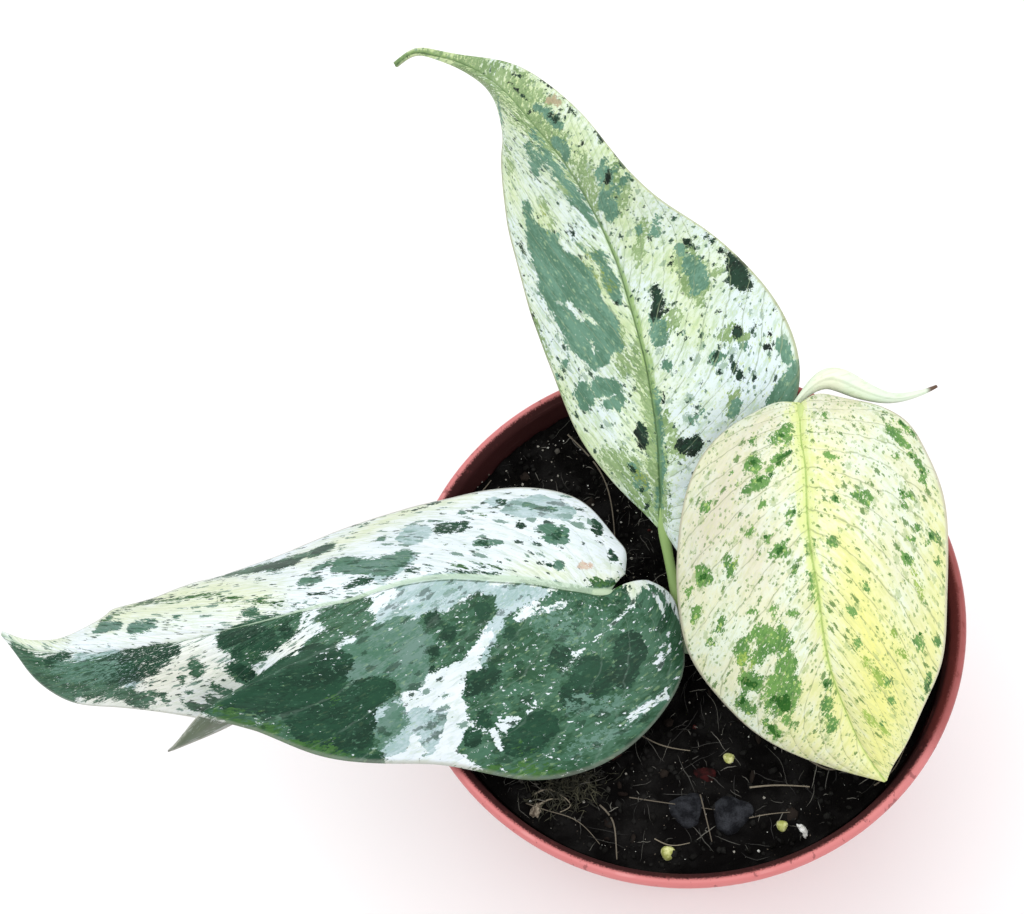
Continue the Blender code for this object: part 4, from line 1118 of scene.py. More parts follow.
upper_shape = blade(upper_ribs, steps=360, half_columns=34, crown=1.5, wave=0.8, waves=2.0,
                    vein_gap=5.4, sweep=4.0, seed=21)
fit(leaf_mesh("upper_blade", upper_shape, upper_stalk, upper_stalk_radii, upper_marks),
    leaf_finish(
        "mint and green blade",
        [("green", ((0.29, 0.41, 0.19), (0.19, 0.30, 0.12)), 1.6, 2.4, 1.1, 1.1),
         ("sage", ((0.145, 0.29, 0.205), (0.085, 0.19, 0.12)), 1.3, 1.5, 0.65, 0.55),
         ("deep", ((0.004, 0.012, 0.007), (0.012, 0.045, 0.024)), 0.8, 1.4, 0.9, 0.45),
         ("lime", ((0.30, 0.38, 0.10), (0.17, 0.26, 0.075)), 1.0, 1.6, 1.2, 1.2),
         ("rust", ((0.46, 0.37, 0.24), (0.34, 0.31, 0.18)), 0.6, 1.0, 0.9, 0.7)],
        [((0.16, 0.28, 0.18), 2.2, 1.4, 0.28, 0.38, 0.6, False),
         ((0.012, 0.045, 0.025), 1.9, 1.3, 0.20, 0.30, 0.95, False),
         ((0.06, 0.14, 0.08), 1.0, 1.3, 0.26, 0.32, 0.85, False),
         ((0.45, 0.60, 0.35), 1.2, 1.4, 0.26, 0.28, 0.45, True)],
        vein_gap=5.4, rib_width=0.45, clear=(0.72, 0.81, 0.69), cool=(0.70, 0.80, 0.80),
        tint=(0.55, 0.66, 0.25), blush=(0.69, 0.79, 0.84), mist=(0.42, 0.57, 0.38), veil=0.55,
        flecks=0.6, crowd=0.25, vein_tone=(0.26, 0.34, 0.20), vein_share=0.75,
        rib_tone=(0.13, 0.24, 0.07), rib_share=0.45, rib_end=120.0, halo_tone=(0.26, 0.42, 0.11),
        halo_width=2.4, halo_broken=4.0, halo_share=0.75, rib_shade_tone=(0.03, 0.08, 0.02),
        rib_shade_at=0.35, rim_tone=(0.50, 0.54, 0.32), under_tone=(0.40, 0.50, 0.34),
        stalk_tone=(0.36, 0.50, 0.22)), "upper_leaf", "upper_leaf")

# Left leaf
# The largest leaf, reaching over the rim to the left. The same kind of blade, silver-blue and dark
# green, whose front half is doubled over itself in one sharp fold that ends in a free flap.
left_ribs = (
    ((-13.5, 2, 109), (-5.3, 2.3, 108), (-9.5, 5, 108.6)),
    ((-14.6, 1.6, 109.6), (-1.9, -1.5, 107.2), (-8.1, 8.9, 108.6)),
    ((-15.6, 1.5, 110.1), (-1.8, -9.7, 106.5), (-9, 13.1, 108.5)),
    ((-17.4, 1.8, 111), (-4, -17.7, 104.5), (-12.6, 22.3, 107.5)),
    ((-19.8, 2.8, 112.5), (-12.5, -25.4, 102.5), (-19.7, 29.8, 106.5)),
    ((-23.4, 4, 114.5), (-24.8, -30.3, 101.5), (-30.1, 34.1, 106)),
    ((-28.9, 6, 117), (-40.5, -29.3, 101.5), (-42.5, 35.6, 106)),
    ((-36.4, 7.9, 119.5), (-55.4, -22.6, 103), (-55.3, 36.1, 106)),
    ((-44.5, 10, 121.5), (-68.3, -18.7, 104.5), (-68.7, 35.6, 106)),
    ((-53.3, 11.2, 122), (-81.6, -13.2, 106), (-80.6, 33.7, 106.5)),
    ((-61, 11.3, 121.5), (-92.7, -5.1, 107.5), (-90.8, 32.5, 107)),
    ((-66.6, 11.4, 121), (-99.2, -0.9, 106.5), (-96.7, 32.1, 107)),
    ((-70.2, 12.1, 120.5), (-102, 0.7, 105), (-99.9, 32.2, 107)),
    ((-73.3, 12.3, 120.3), (-105.9, 2.9, 103), (-103.6, 31.9, 107.5)),
    ((-76.4, 12.7, 119.8), (-108.9, 4.6, 102), (-106.5, 31.7, 107.5)),
    ((-80, 13.1, 119), (-112.3, 6.7, 101), (-109.5, 31.4, 107.5)),
    ((-91.1, 14.4, 117), (-123.5, 11.4, 101.5), (-118.5, 31.1, 108.5)),
    ((-107.7, 16.7, 114), (-133.6, 15.5, 103), (-122.9, 29.8, 108.5)),
    ((-120, 19.7, 112), (-139, 20.8, 106), (-130.3, 27.5, 109.5)),
    ((-130.1, 22.7, 111), (-141.2, 25.1, 109), (-134.8, 27.4, 110.5)),
    ((-137.9, 26.3, 111.3), (-142.5, 28.3, 111.2), (-139.2, 28.7, 112)),
    ((-143.2, 30.6, 113), (-143.4, 30.3, 112.6), (-142.8, 31, 113.4)),
)
# offsets of the left margin at places counted in ribs: the pleat, and the flap's drawn-out end
left_pleat = ((10, (0, 0, 0)), (11, (-4.2, 1.4, 4)), (13, (7.7, -2.2, -1)), (14, (7.8, -2.6, -4.4)),
              (16, (0, 0, 0)))
left_cusp = ((11.15, (0, 0, 0)), (12.1, (-13.6, -3, -1.5)), (13, (0, 0, 0)))
left_stalk = ((5.3, -10.5, 95.5), (1.5, -10.9, 96), (-3.7, -8.4, 98), (-8.2, -4, 102),
              (-11.8, 0, 106.5), (-14, 1.3, 109), (-17.4, 2.1, 110.7))
left_stalk_radii = (1.7, 1.5, 1.25, 1.2, 1.2, 1.3, 0.9)
left_marks = {
    "silver": (2.2, (
        (-588, 47, 25, -519, 65, 42, -450, 74, 32, -391, 76, 17), (-545, 102, 12, -474, 96, 17),
        (-365, 29, 33, -317, 37, 25, -275, 32, 12), (-383, -3, 20), (-284, 260, 33, -240, 254, 37,
        -193, 220, 25), (-511, 248, 35), (-330, 298, 17), (-636, -101, 33, -651, -129, 46, -683,
        -151, 29), (-597, -137, 25, -531, -160, 25), (-580, -173, 20), (-576, 157, 33, -537, 167,
        25), (-430, -73, 12, -396, -21, 15), (-757, 43, 17, -773, 33, 8), (-1209, 174, 29, -1160,
        147, 23, -1266, 197, 17))),
    "sage": (2.2, (
        (-674, 4, 25, -621, 3, 46, -557, 0, 46), (-660, -44, 42, -594, -46, 46, -551, -29, 33),
        (-643, -124, 25, -679, -138, 25), (-702, -38, 21), (-268, 264, 4, -208, 228, 7), (-566,
        168, 33, -538, 178, 23), (-666, 208, 23, -610, 180, 22), (-723, 217, 8, -693, 226, 10),
        (-745, 194, 15, -716, 187, 10), (-401, 289, 10), (-579, 256, 7), (-242, 183, 15, -224, 159,
        25), (-229, 89, 10), (-381, 176, 8, -346, 168, 8), (-1217, 264, 18, -1172, 252, 13),
        (-1128, 228, 15, -1084, 220, 12), (-1206, 285, 8), (-1027, 217, 8), (-928, 316, 13),
        (-1408, 253, 12, -1370, 199, 15, -1328, 157, 12), (-957, 321, 8), (-452, 358, 7), (-610,
        341, 4, -648, 331, 4), (-487, -32, 12), (-446, -16, 12), (-377, -24, 12), (-92, -231, 10,
        -142, -257, 12, -200, -274, 10, -273, -286, 7), (-948, -19, 4, -906, -63, 6, -815, -133,
        6), (-378, -31, 13, -337, -34, 12), (-305, -71, 18, -247, -69, 13), (-398, -110, 12),
        (-200, -58, 13, -182, -92, 12))),
    "green": (2.4, (
        (-346, -23, 25, -289, -25, 42, -223, -23, 58, -147, -31, 58, -86, -53, 42), (-73, -16, 17,
        -68, -73, 33, -61, -129, 25, -72, -180, 20), (-402, -80, 33, -340, -84, 67, -257, -100, 75,
        -161, -113, 75), (-465, -116, 33, -405, -130, 50, -317, -154, 75, -222, -170, 75, -133,
        -184, 42), (-469, -153, 25, -454, -169, 21), (-408, -217, 42, -342, -236, 67, -255, -236,
        58, -173, -221, 33), (-461, -250, 25, -395, -273, 29, -306, -280, 29), (-501, -195, 29,
        -471, -233, 25), (-139, 19, 20, -171, 12, 25, -218, 9, 15), (-443, 12, 33, -402, 25, 28,
        -475, 0, 33, -507, 18, 25), (-450, -32, 20, -482, -44, 25, -521, -44, 20), (-523, -93, 12),
        (-697, 67, 28, -656, 78, 37, -628, 60, 17, -742, 46, 25), (-714, 97, 20, -630, 98, 17),
        (-951, -11, 18, -893, -8, 42, -835, -17, 67, -785, -52, 83, -745, -113, 58, -706, -169,
        25), (-670, -69, 28, -630, -71, 20), (-1418, 265, 20, -1374, 220, 28, -1304, 181, 32,
        -1218, 156, 33), (-1210, 134, 12, -1171, 111, 12, -1133, 107, 8), (-1121, 97, 10), (-1370,
        184, 8, -1321, 153, 7), (-1182, 112, 20), (-1014, 111, 17), (-1214, 140, 12), (-1005, 70,
        13), (-941, 74, 22), (-1056, 87, 6), (-1041, 71, 8), (-1056, 106, 6), (-938, 132, 15, -875,
        124, 28, -821, 109, 30, -772, 113, 17), (-906, 102, 22, -881, 87, 12), (-758, 114, 8),
        (-879, 166, 8, -858, 161, 12), (-815, 139, 5), (-787, 121, 10), (-933, 311, 12, -856, 294,
        20, -791, 278, 25, -753, 287, 12), (-725, 285, 20, -697, 291, 18), (-848, 242, 5), (-672,
        262, 5), (-65, -17, 25, -47, -96, 32, -48, -156, 33, -79, -214, 37, -142, -257, 42, -220,
        -290, 37, -313, -301, 28, -410, -283, 20), (-1087, 69, 12, -945, -17, 13, -923, -38, 17,
        -866, -89, 20, -799, -133, 20, -742, -164, 13))),
    "deep": (1.3, (
        (-930, -10, 12, -867, -9, 32, -805, -10, 58, -750, 0, 50, -710, 2, 30), (-818, -40, 42,
        -795, -75, 58, -724, -96, 55, -682, -68, 33), (-762, -121, 28, -714, -130, 25), (-678, -59,
        25, -637, -69, 22), (-1213, 167, 20, -1128, 154, 30, -1073, 149, 20, -1044, 146, 10),
        (-1339, 227, 10, -1291, 220, 8), (-937, 134, 12, -892, 126, 18, -847, 102, 23), (-802, 102,
        15), (-913, 105, 13), (-936, 76, 17), (-855, 289, 13, -789, 274, 18, -766, 271, 13), (-718,
        288, 17, -697, 291, 12), (-449, 249, 17, -416, 237, 18, -461, 236, 7), (-401, 244, 8),
        (-130, 178, 12, -133, 156, 17), (-117, 101, 8, -117, 87, 12), (-312, 289, 12), (-293, 205,
        8), (-277, 168, 3), (-224, 159, 12), (-658, 145, 7, -629, 144, 12, -601, 142, 5), (-531,
        135, 2, -482, 125, 2), (-504, 25, 17), (-403, 22, 17), (-484, -5, 17), (-475, -105, 20,
        -428, -97, 20), (-466, -167, 17), (-498, -192, 17), (-409, -221, 33, -349, -212, 28),
        (-230, -151, 42, -282, -177, 28), (-147, -116, 33, -175, -163, 25), (-366, -35, 12), (-286,
        -97, 22), (-734, -163, 7, -692, -177, 4), (-522, -33, 10), (-532, -59, 7), (-585, 133, 2,
        -505, 122, 2), (-462, 116, 2, -354, 86, 3), (-301, 60, 3, -223, 33, 4, -168, 21, 2), (-399,
        113, 2, -313, 87, 2), (-642, 359, 2, -585, 353, 2), (-502, 343, 2, -438, 351, 2), (-970,
        308, 5), (-1001, 302, 3), (-431, 168, 4), (-379, 179, 7, -361, 160, 4), (-270, 102, 4,
        -250, 90, 3), (-345, 112, 3), (-294, 220, 5), (-740, 155, 2, -682, 143, 2), (-1228, 286, 2,
        -1173, 301, 2, -1119, 309, 2, -1048, 289, 2))),
    "cut": (1.4, (
        (-242, 4, 7, -281, -4, 7, -324, 1, 10), (-405, -25, 8, -453, -61, 13, -503, -81, 17, -552,
        -92, 22), (-478, -86, 7, -508, -116, 17, -515, -154, 22, -552, -200, 22), (-430, -192, 12,
        -386, -182, 5, -339, -176, 2), (-453, -197, 13, -446, -220, 8), (-101, 9, 8, -106, -24, 3,
        -155, -53, 2, -177, -72, 2), (-69, 1, 6, -54, -33, 6, -53, -87, 5, -64, -137, 4), (-87,
        -214, 8, -135, -221, 6, -211, -251, 4), (-299, 9, 10, -343, -12, 7), (-267, -85, 2, -257,
        -100, 3), (-748, 123, 7, -773, 98, 5, -774, 67, 5, -784, 37, 7), (-607, -88, 7, -545, -94,
        8), (-1051, 133, 8, -1113, 117, 10, -1155, 124, 7), (-1003, 129, 8, -949, 100, 7), (-570,
        59, 2, -516, 77, 2), (-545, 31, 2, -467, 50, 2, -400, 53, 2), (-112, -34, 4, -163, -62, 3,
        -253, -104, 4, -331, -155, 3, -407, -189, 4), (-290, -269, 3, -250, -259, 3, -184, -248, 4,
        -118, -217, 4, -86, -199, 3), (-688, 43, 2, -618, 29, 2, -540, 36, 2, -461, 45, 2, -392,
        48, 2))),
    "tint": (9.0, (
        (-1216, 304, 25, -1094, 306, 33, -944, 267, 33, -829, 194, 17), (-743, 280, 20, -649, 299,
        20, -553, 341, 25, -455, 352, 20, -381, 347, 10), (-1395, 282, 17, -1325, 267, 17), (-1184,
        280, 25, -1062, 258, 28, -955, 232, 25, -827, 188, 20), (-106, 14, 15, -165, 43, 10),
        (-299, 83, 7, -232, 62, 7))),
    "blush": (9.0, (
        (-1122, 120, 50, -1014, 116, 42, -961, 79, 33), (-891, 139, 17, -794, 57, 17), (-1284, 144,
        25, -1131, 88, 25))),
    "rust": (1.0, (
        (-188, 79, 8, -171, 75, 7),)),
    "haze": (1.8, (
        (-1319, 205, 17, -1255, 178, 20, -1188, 161, 13), (-289, -25, 25, -242, -52, 27), (-287,
        -195, 18, -202, -205, 18), (-623, -129, 12, -627, -97, 13), (-304, -265, 12, -258, -263,
        12, -201, -251, 12, -142, -222, 10, -101, -195, 7))),
    "lime": (2.0, (
        (-953, -30, 13, -907, -66, 15, -829, -124, 17, -750, -164, 12), (-492, -255, 12, -426,
        -278, 13, -339, -295, 12), (-738, -52, 8), (-1225, 280, 2, -1169, 292, 2, -1114, 300, 2,
        -965, 252, 2, -891, 210, 2, -829, 175, 2, -759, 144, 2), (-166, 37, 2, -117, 20, 4), (-434,
        121, 2, -351, 98, 2))),
}
left_shape = blade(left_ribs, steps=420, half_columns=40, crown=2.6, wave=0.5, waves=2.0,
                   vein_gap=6.5, sweep=3.0, seed=31, pleat=left_pleat, cusp=left_cusp)
fit(leaf_mesh("left_blade", left_shape, left_stalk, left_stalk_radii, left_marks),
    leaf_finish(
        "silver and dark green blade",
        [("silver", ((0.49, 0.60, 0.63), (0.32, 0.46, 0.45)), 1.8, 1.6, 0.7, 0.5),
         ("sage", ((0.14, 0.24, 0.20), (0.07, 0.17, 0.11)), 1.5, 1.5, 0.7, 0.5),
         ("green", ((0.062, 0.150, 0.092), (0.022, 0.078, 0.036)), 1.4, 1.5, 0.75, 0.75),
         ("deep", ((0.009, 0.036, 0.020), (0.014, 0.062, 0.032)), 1.3, 1.5, 1.0, 0.9),
         ("haze", ((0.13, 0.24, 0.19), (0.09, 0.19, 0.14)), 1.6, 1.6, 1.3, 1.3),
         ("lime", ((0.055, 0.15, 0.036), (0.030, 0.100, 0.024)), 1.4, 2.4, 1.6, 1.0),
         ("rust", ((0.54, 0.36, 0.28), (0.64, 0.54, 0.44)), 0.6, 1.0, 0.9, 0.6)],
        [((0.10, 0.20, 0.15), 2.0, 1.6, 0.24, 0.42, 0.85, False),
         ((0.012, 0.045, 0.025), 1.6, 1.5, 0.22, 0.33, 0.95, False),
         ((0.30, 0.44, 0.22), 0.8, 2.4, 0.30, 0.24, 0.35, True),
         ((0.06, 0.16, 0.10), 2.4, 1.6, 0.50, 0.50, 0.5, True),
         ((0.006, 0.030, 0.014), 2.0, 1.6, 0.40, 0.45, 0.6, True)],
        vein_gap=6.5, rib_width=0.9, clear=(0.78, 0.84, 0.89), cool=(0.72, 0.79, 0.84),
        tint=(0.68, 0.72, 0.38), blush=(0.84, 0.82, 0.69), mist=(0.50, 0.62, 0.54), veil=0.45,
        flecks=0.2, crowd=0.25, vein_tone=(0.30, 0.40, 0.34), vein_share=0.14,
        rib_tone=(0.50, 0.64, 0.48), rib_share=0.7, rib_end=170.0, halo_tone=(0.60, 0.70, 0.62),
        halo_width=1.6, halo_broken=1.0, halo_share=0.45, rib_shade_tone=(0.03, 0.08, 0.03),
        rib_shade_at=1.1, rim_tone=(0.62, 0.64, 0.56), under_tone=(0.17, 0.18, 0.13),
        stalk_tone=(0.36, 0.50, 0.22)), "left_leaf", "left_leaf")

# Right leaf
# The heart-shaped leaf that hangs over the right of the pot, cream turning to clear yellow at its
# tip, with small green marks and a lime midrib.
right_ribs = (
    ((33.2, 19.7, 132.4), (34.5, 20.4, 131.6), (32.5, 20.6, 131.6)),
    ((32.3, 17.8, 133.2), (37.1, 21.5, 131.2), (30.2, 21.9, 131.2)),
    ((31, 14.5, 134.4), (41.6, 19.5, 130.8), (26.3, 22.2, 130.4)),
    ((29.6, 10.2, 135.2), (47.3, 16.7, 130), (19.5, 21, 128.8)),
    ((28.5, 5.3, 135.6), (52.1, 12, 128.8), (12.8, 18.1, 126.4)),
    ((26.7, -0.3, 135.6), (53.9, 5.4, 126.8), (7, 12.4, 123.6)),
    ((24.9, -6, 134.8), (54.1, -3.4, 124.4), (2.8, 4.9, 120.8)),
    ((23.5, -12.1, 133.2), (51.5, -13.5, 121.2), (-0.4, -3.3, 117.6)),
    ((22.4, -18.8, 130.8), (47.6, -23.6, 116.8), (-2.2, -11.6, 114.8)),
    ((21.5, -24.6, 126.8), (43.5, -32.7, 112.8), (-2, -19.6, 112.4)),
    ((21.1, -30.5, 122), (38.8, -38.2, 109.6), (1.2, -27.7, 110)),
    ((22.1, -36.3, 115.6), (33.7, -43.5, 106.8), (6.3, -35.5, 107.6)),
    ((23.9, -42.9, 108.4), (29.6, -46.8, 104), (14.8, -42.5, 104.8)),
    ((26.9, -49.2, 102), (27.3, -49.1, 101.8), (26.5, -49.3, 101.8)),
)
right_stalk = ((7.1, -10, 103.5), (9.9, -7.4, 105.6), (15.4, -1.3, 110), (21.9, 6.2, 116),
               (28.1, 13.3, 123), (32, 18.1, 129.5), (32.9, 18.7, 131.9), (31.7, 15.7, 133.6))
right_stalk_radii = (1.7, 1.5, 1.25, 1.2, 1.2, 1.2, 1.3, 0.9)
right_marks = {
    "sage": (2.2, (
        (286, 141, 10, 265, 126, 17, 253, 120, 10), (280, 120, 6, 263, 99, 5), (259, 85, 7, 243,
        76, 12), (209, 57, 8, 185, 52, 8, 164, 51, 7), (215, 65, 10, 229, 68, 7), (212, 77, 4),
        (197, 55, 14), (158, 40, 6), (213, 141, 11), (159, 97, 6), (159, 67, 7), (199, 93, 18),
        (91, 61, 12), (174, -54, 8, 174, -46, 4), (189, 10, 8), (186, -86, 17, 194, -97, 6), (204,
        -75, 6), (234, -33, 5, 221, -34, 4), (217, -49, 5), (206, -126, 6, 199, -135, 5), (172,
        -195, 6), (196, -154, 4), (45, -55, 16, 44, -40, 7), (13, -67, 4, 8, -56, 3), (18, -106, 6,
        1, -119, 4), (98, -55, 8, 95, -75, 7), (91, -44, 4), (143, -29, 5, 156, -28, 3), (85, -192,
        12, 71, -204, 14, 66, -220, 12), (112, -194, 13, 118, -212, 23, 138, -211, 18, 144, -229,
        13), (98, -224, 13), (152, -251, 6, 138, -265, 21, 124, -280, 25, 130, -302, 23, 132, -323,
        11), (113, -275, 16, 97, -298, 11), (63, -247, 12, 73, -262, 16, 85, -266, 11), (49, -289,
        13, 60, -305, 7), (103, -320, 13), (78, -330, 6, 87, -348, 12, 95, -359, 8), (114, -338, 8,
        122, -351, 5), (113, -156, 10), (53, -149, 10, 37, -154, 8), (29, -174, 8), (147, -170, 8),
        (16, -194, 3), (497, 114, 5, 515, 97, 6, 530, 81, 5), (479, 92, 10, 489, 68, 12, 503, 54,
        7), (499, 36, 6), (510, 22, 5, 511, 0, 8, 507, -22, 10), (494, -1, 7), (344, 2, 3, 360,
        -17, 3, 382, -41, 4), (350, -28, 4, 369, -47, 3), (451, -37, 7, 462, -44, 6), (466, 36, 6),
        (445, -59, 4), (487, -116, 13, 470, -125, 5), (460, -102, 7), (438, -118, 5), (416, -149,
        11), (367, -126, 5), (316, -31, 6), (399, -277, 7, 394, -294, 10), (385, -280, 4), (424,
        -224, 5), (403, -342, 6, 393, -360, 10, 386, -374, 5), (331, 52, 6, 344, 43, 5), (312,
        -362, 5), (284, -397, 4), (198, -323, 7), (186, -259, 3), (311, -333, 7), (282, -103, 7),
        (320, -187, 6), (280, -219, 8), (271, -272, 8), (435, -291, 5), (483, -160, 6), (358, 142,
        5), (235, -97, 5, 233, -119, 4), (190, -346, 10, 191, -379, 7), (224, -154, 4, 216, -205,
        5))),
    "deep": (1.3, (
        (249, 82, 7, 262, 83, 4), (270, 85, 4, 241, 72, 4), (199, 93, 7), (45, -56, 7), (265, 126,
        5), (221, 56, 5), (197, 55, 5), (189, -86, 7), (204, -75, 3), (234, -33, 3), (205, -129,
        4), (63, -255, 6, 76, -265, 5), (49, -285, 6), (120, -315, 13), (104, -301, 7), (84, -340,
        4, 92, -359, 4), (506, 113, 3, 523, 89, 3), (499, 36, 4), (511, 3, 4), (451, -37, 4), (462,
        -44, 3), (401, -272, 4), (399, -349, 4, 392, -367, 4), (484, -117, 4), (417, -148, 4),
        (198, -321, 3), (316, -30, 3), (172, -50, 3), (490, 130, 2, 475, 128, 3))),
    "cut": (1.4, (
        (95, -189, 4, 92, -210, 4, 81, -231, 5), (143, -243, 4, 112, -249, 5, 96, -254, 4), (63,
        -282, 4, 79, -314, 4), (83, -322, 3, 104, -346, 3))),
    "tint": (9.0, (
        (321, 50, 13, 303, -37, 21, 297, -98, 32, 303, -155, 48, 299, -245, 74, 307, -332, 90, 279,
        -418, 69, 256, -469, 32), (510, -79, 16, 478, -174, 26, 438, -264, 37, 384, -349, 42),
        (206, -354, 42, 221, -425, 32), (158, -383, 26, 118, -351, 13), (172, -320, 16), (341,
        -286, 58, 312, -370, 74, 272, -428, 63, 257, -465, 48), (229, -462, 21))),
    "blush": (9.0, (
        (155, 92, 53, 90, 24, 58, 33, -33, 26), (249, 172, 32, 196, 149, 42), (357, 175, 26, 435,
        181, 16), (139, 21, 32, 145, -38, 32, 142, -98, 26))),
    "lime": (2.0, (
        (76, -217, 7, 78, -230, 7), (112, -60, 5), (283, -294, 5, 306, -340, 6), (352, -262, 5,
        362, -307, 5), (259, -379, 5, 287, -409, 5), (419, -168, 4, 424, -209, 4))),
}
right_shape = blade(right_ribs, steps=320, half_columns=40, crown=2.5, wave=0.6, waves=1.5,
                    vein_gap=5.0, sweep=3.0, seed=41)
fit(leaf_mesh("right_blade", right_shape, right_stalk, right_stalk_radii, right_marks),
    leaf_finish(
        "cream and lime blade",
        [("sage", ((0.16, 0.33, 0.08), (0.085, 0.21, 0.055)), 1.1, 1.6, 0.75, 0.85),
         ("deep", ((0.030, 0.13, 0.014), (0.014, 0.09, 0.009)), 0.8, 1.4, 0.6, 0.7),
         ("lime", ((0.36, 0.50, 0.10), (0.24, 0.38, 0.07)), 1.0, 1.6, 1.2, 1.0)],
        [((0.30, 0.42, 0.16), 1.9, 1.4, 0.34, 0.36, 0.5, False),
         ((0.08, 0.19, 0.035), 1.4, 2.0, 0.27, 0.31, 0.85, False),
         ((0.17, 0.29, 0.08), 0.85, 1.3, 0.47, 0.34, 0.7, False),
         ((0.50, 0.66, 0.20), 1.0, 1.3, 0.35, 0.33, 0.7, True)],
        vein_gap=5.0, rib_width=1.0, clear=(0.76, 0.77, 0.55), cool=(0.75, 0.82, 0.68),
        tint=(0.80, 0.79, 0.26), blush=(0.68, 0.63, 0.50), mist=(0.55, 0.62, 0.34), veil=0.40,
        flecks=0.3, crowd=0.2, vein_tone=(0.24, 0.30, 0.14), vein_share=0.6,
        rib_tone=(0.60, 0.70, 0.22), rib_share=0.35, rib_end=95.0, halo_tone=(0.68, 0.76, 0.27),
        halo_width=3.4, halo_broken=3.2, halo_share=0.7, rib_shade_tone=(0.26, 0.42, 0.08),
        rib_shade_at=0.0, rim_tone=(0.66, 0.62, 0.46), under_tone=(0.34, 0.42, 0.20),
        stalk_tone=(0.40, 0.54, 0.22)), "right_leaf", "right_leaf")

# Young leaf
# The newest leaf, still rolled up: a pale thin blade wound round itself on its own stalk, with a
# free outer edge along the roll and a drawn-out tip that has dried brown.
young_route = ((7.8, -10, 107.3), (8.7, -7.2, 110.4), (13, 0.8, 115), (20.6, 9.9, 120.6),
               (29.3, 18.9, 126), (36.4, 23.7, 129.7), (40.9, 24.2, 131), (45, 21.1, 130.6),
               (48.4, 18.6, 129.6), (51.7, 17.4, 128.4), (55.6, 17.1, 127.6), (59.2, 17.3, 127.3),
               (61.5, 17.5, 127.6))
young_radii = (1.3, 1.2, 1.1, 1.0, 0.9, 1.2, 2.4, 2.35, 1.7, 1.2, 0.85, 0.55, 0.35)
young_steps, young_sides = 220, 48
roll_starts, roll_full = 0.42, 0.54
lap_turn, lap_depth, crease_depth, crease_reach = 4.6, 0.16, 0.05, 0.05


def rolled(route, radii, steps, around):
    """Points of a wound sheet: a tube whose radius grows round it up to the step of its free edge.

    The step and a crease opposite it fade out where the blade passes into its stalk.
    """
    path, radius = along(route, radii, steps)
    turn = ((round_angles(around) - lap_turn) % FULL_TURN) / FULL_TURN
    grown = np.interp(np.linspace(0, 1, steps), (roll_starts, roll_full), (0, 1))[:, None]
    lap = 1.0 - lap_depth * grown * (1 - turn)[None]
    crease = 1 - crease_depth * grown * np.exp(-((turn[None] - 0.5) / crease_reach) ** 2)
    return stalk_shape(path, radius, around, lap * crease)


def young_finish():
    """Pale rolled blade: mint and cream, fine lengthwise veins, a green stalk and a brown tip."""
    material, tree = new_finish("pale rolled blade")
    part = fact(tree, "shade")
    patches, fine = grained(tree, patch=7.0, fine=0.3)
    streak = noise(here(tree), (260.0, 1500.0, 1500.0), 3.0)
    tone = coated(blended(stepped(patches, 0.35, 0.65), (0.83, 0.86, 0.67), (0.73, 0.84, 0.67)),
                  (stepped(streak, 0.5, 0.7) * 0.4, (0.52, 0.66, 0.40)),
                  (stepped(part, 0.50, 0.40), (0.36, 0.50, 0.20)),
                  (stepped(part, 0.965, 0.985), (0.10, 0.05, 0.025)))
    return finished(material, tone, 0.38 + fine * 0.2, streak, depth=0.00008, strength=0.6)


young = put_mesh("rolled_blade", *rolled(young_route, young_radii, young_steps, young_sides))
keep_fact(young, "shade", np.r_[np.repeat(np.linspace(0, 1, young_steps), young_sides), 0, 1])
fit(young, young_finish(), "young_leaf", "young_leaf")

# Floor, light and camera
# A plain pale floor under wide soft studio light, seen from above at the photo's angle.
floor_half, floor_rough = 3000.0, 0.9


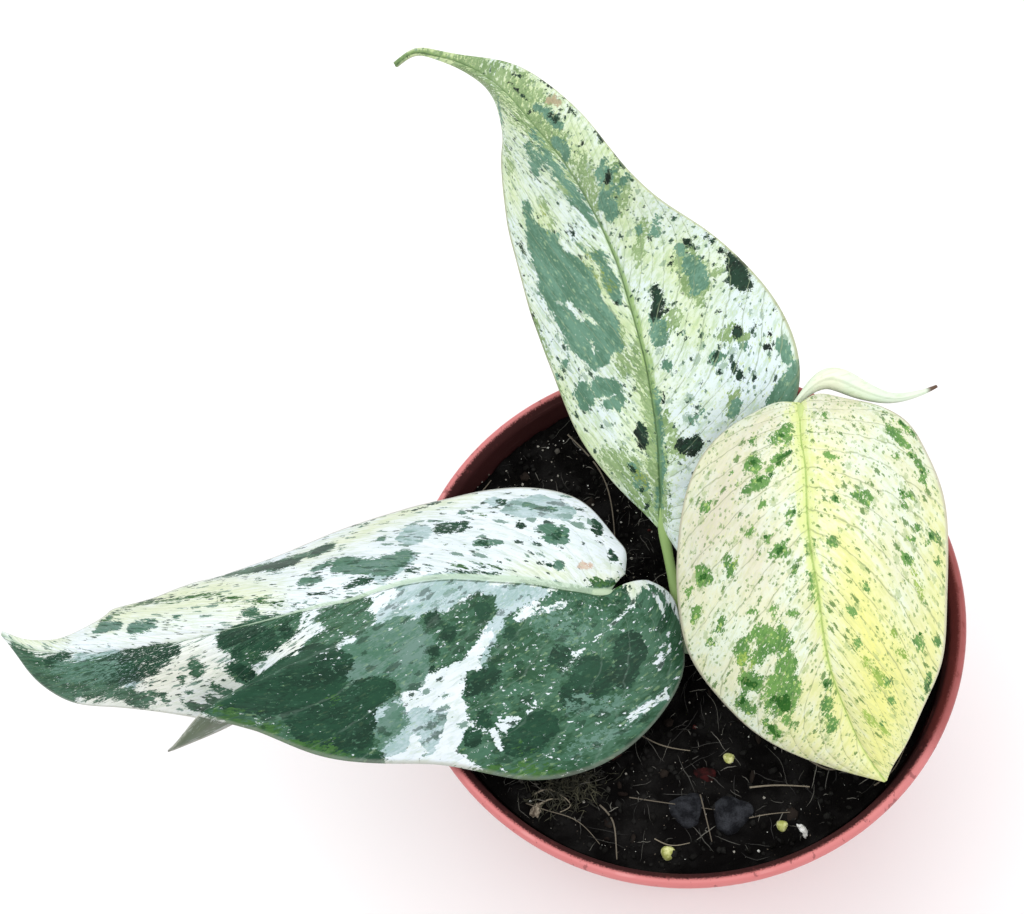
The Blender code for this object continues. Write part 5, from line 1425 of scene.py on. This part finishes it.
def floor_finish():
    """Matt off-white floor with barely visible broad cloudy patches."""
    material, tree = new_finish("floor paint")
    patches, _ = grained(tree, patch=400.0, fine=3.0)
    shader = tree.nodes["Principled BSDF"]
    tree.links.new(blended(patches, (0.93, 0.93, 0.93), (0.96, 0.96, 0.96)).socket,
                   shader.inputs["Base Color"])
    shader.inputs["Roughness"].default_value = floor_rough
    return material


floor = put_mesh("floor", [(x * floor_half, y * floor_half, 0)
                           for x, y in ((-1, -1), (1, -1), (1, 1), (-1, 1))], [(0, 1, 2, 3)])
floor.data.materials.append(floor_finish())


def stand(holder, right, up, back, place):
    """Turn a lamp or camera to its own right, up and back, and put it at a place, in metres."""
    rows = np.column_stack([right, up, back, place]).tolist()
    holder.matrix_world = Matrix([*rows, (0, 0, 0, 1)])


def soft_light(name, place, aim, size, power):
    """Square area light at a place, turned to its aim; all in metres and watts."""
    lamp = bpy.data.lights.new(name, "AREA")
    lamp.shape, lamp.size, lamp.energy = "SQUARE", size, power
    back = unit(np.array(place) - np.array(aim))
    right = unit(np.cross((0.0, 1.0, 0.01), back))
    stand(new_object(name, lamp), right, np.cross(back, right), back, place)


soft_light("key light", (-0.35, 0.30, 1.55), (0, 0, 0.1), 1.5, 15.0)
soft_light("fill light", (0.9, -0.7, 1.1), (0, 0, 0.1), 1.2, 7.0)
world = bpy.data.worlds.new("studio")
world.use_nodes = True
sky = world.node_tree.nodes["Background"]
sky.inputs["Color"].default_value = (0.97, 0.985, 1.0, 1.0)
sky.inputs["Strength"].default_value = 0.70
bpy.context.scene.world = world
bpy.context.scene.view_settings.view_transform = "Standard"

camera_lift, camera_roll = math.radians(60.92), math.radians(-16.24)
camera_aim, camera_away = np.array((-25.5, 45.8, 98.0)) * MM, 0.300
camera_back = np.array((0.0, -math.cos(camera_lift), math.sin(camera_lift)))
level_right = np.array((1.0, 0.0, 0.0))
level_up = np.cross(camera_back, level_right)
camera_right = level_right * math.cos(camera_roll) + level_up * math.sin(camera_roll)
camera_up = level_up * math.cos(camera_roll) - level_right * math.sin(camera_roll)
lens = bpy.data.cameras.new("camera")
lens.lens, lens.sensor_width, lens.clip_start = 45.0, 36.0, 0.01
camera = new_object("camera", lens)
stand(camera, camera_right, camera_up, camera_back, camera_aim + camera_back * camera_away)
bpy.context.scene.camera = camera
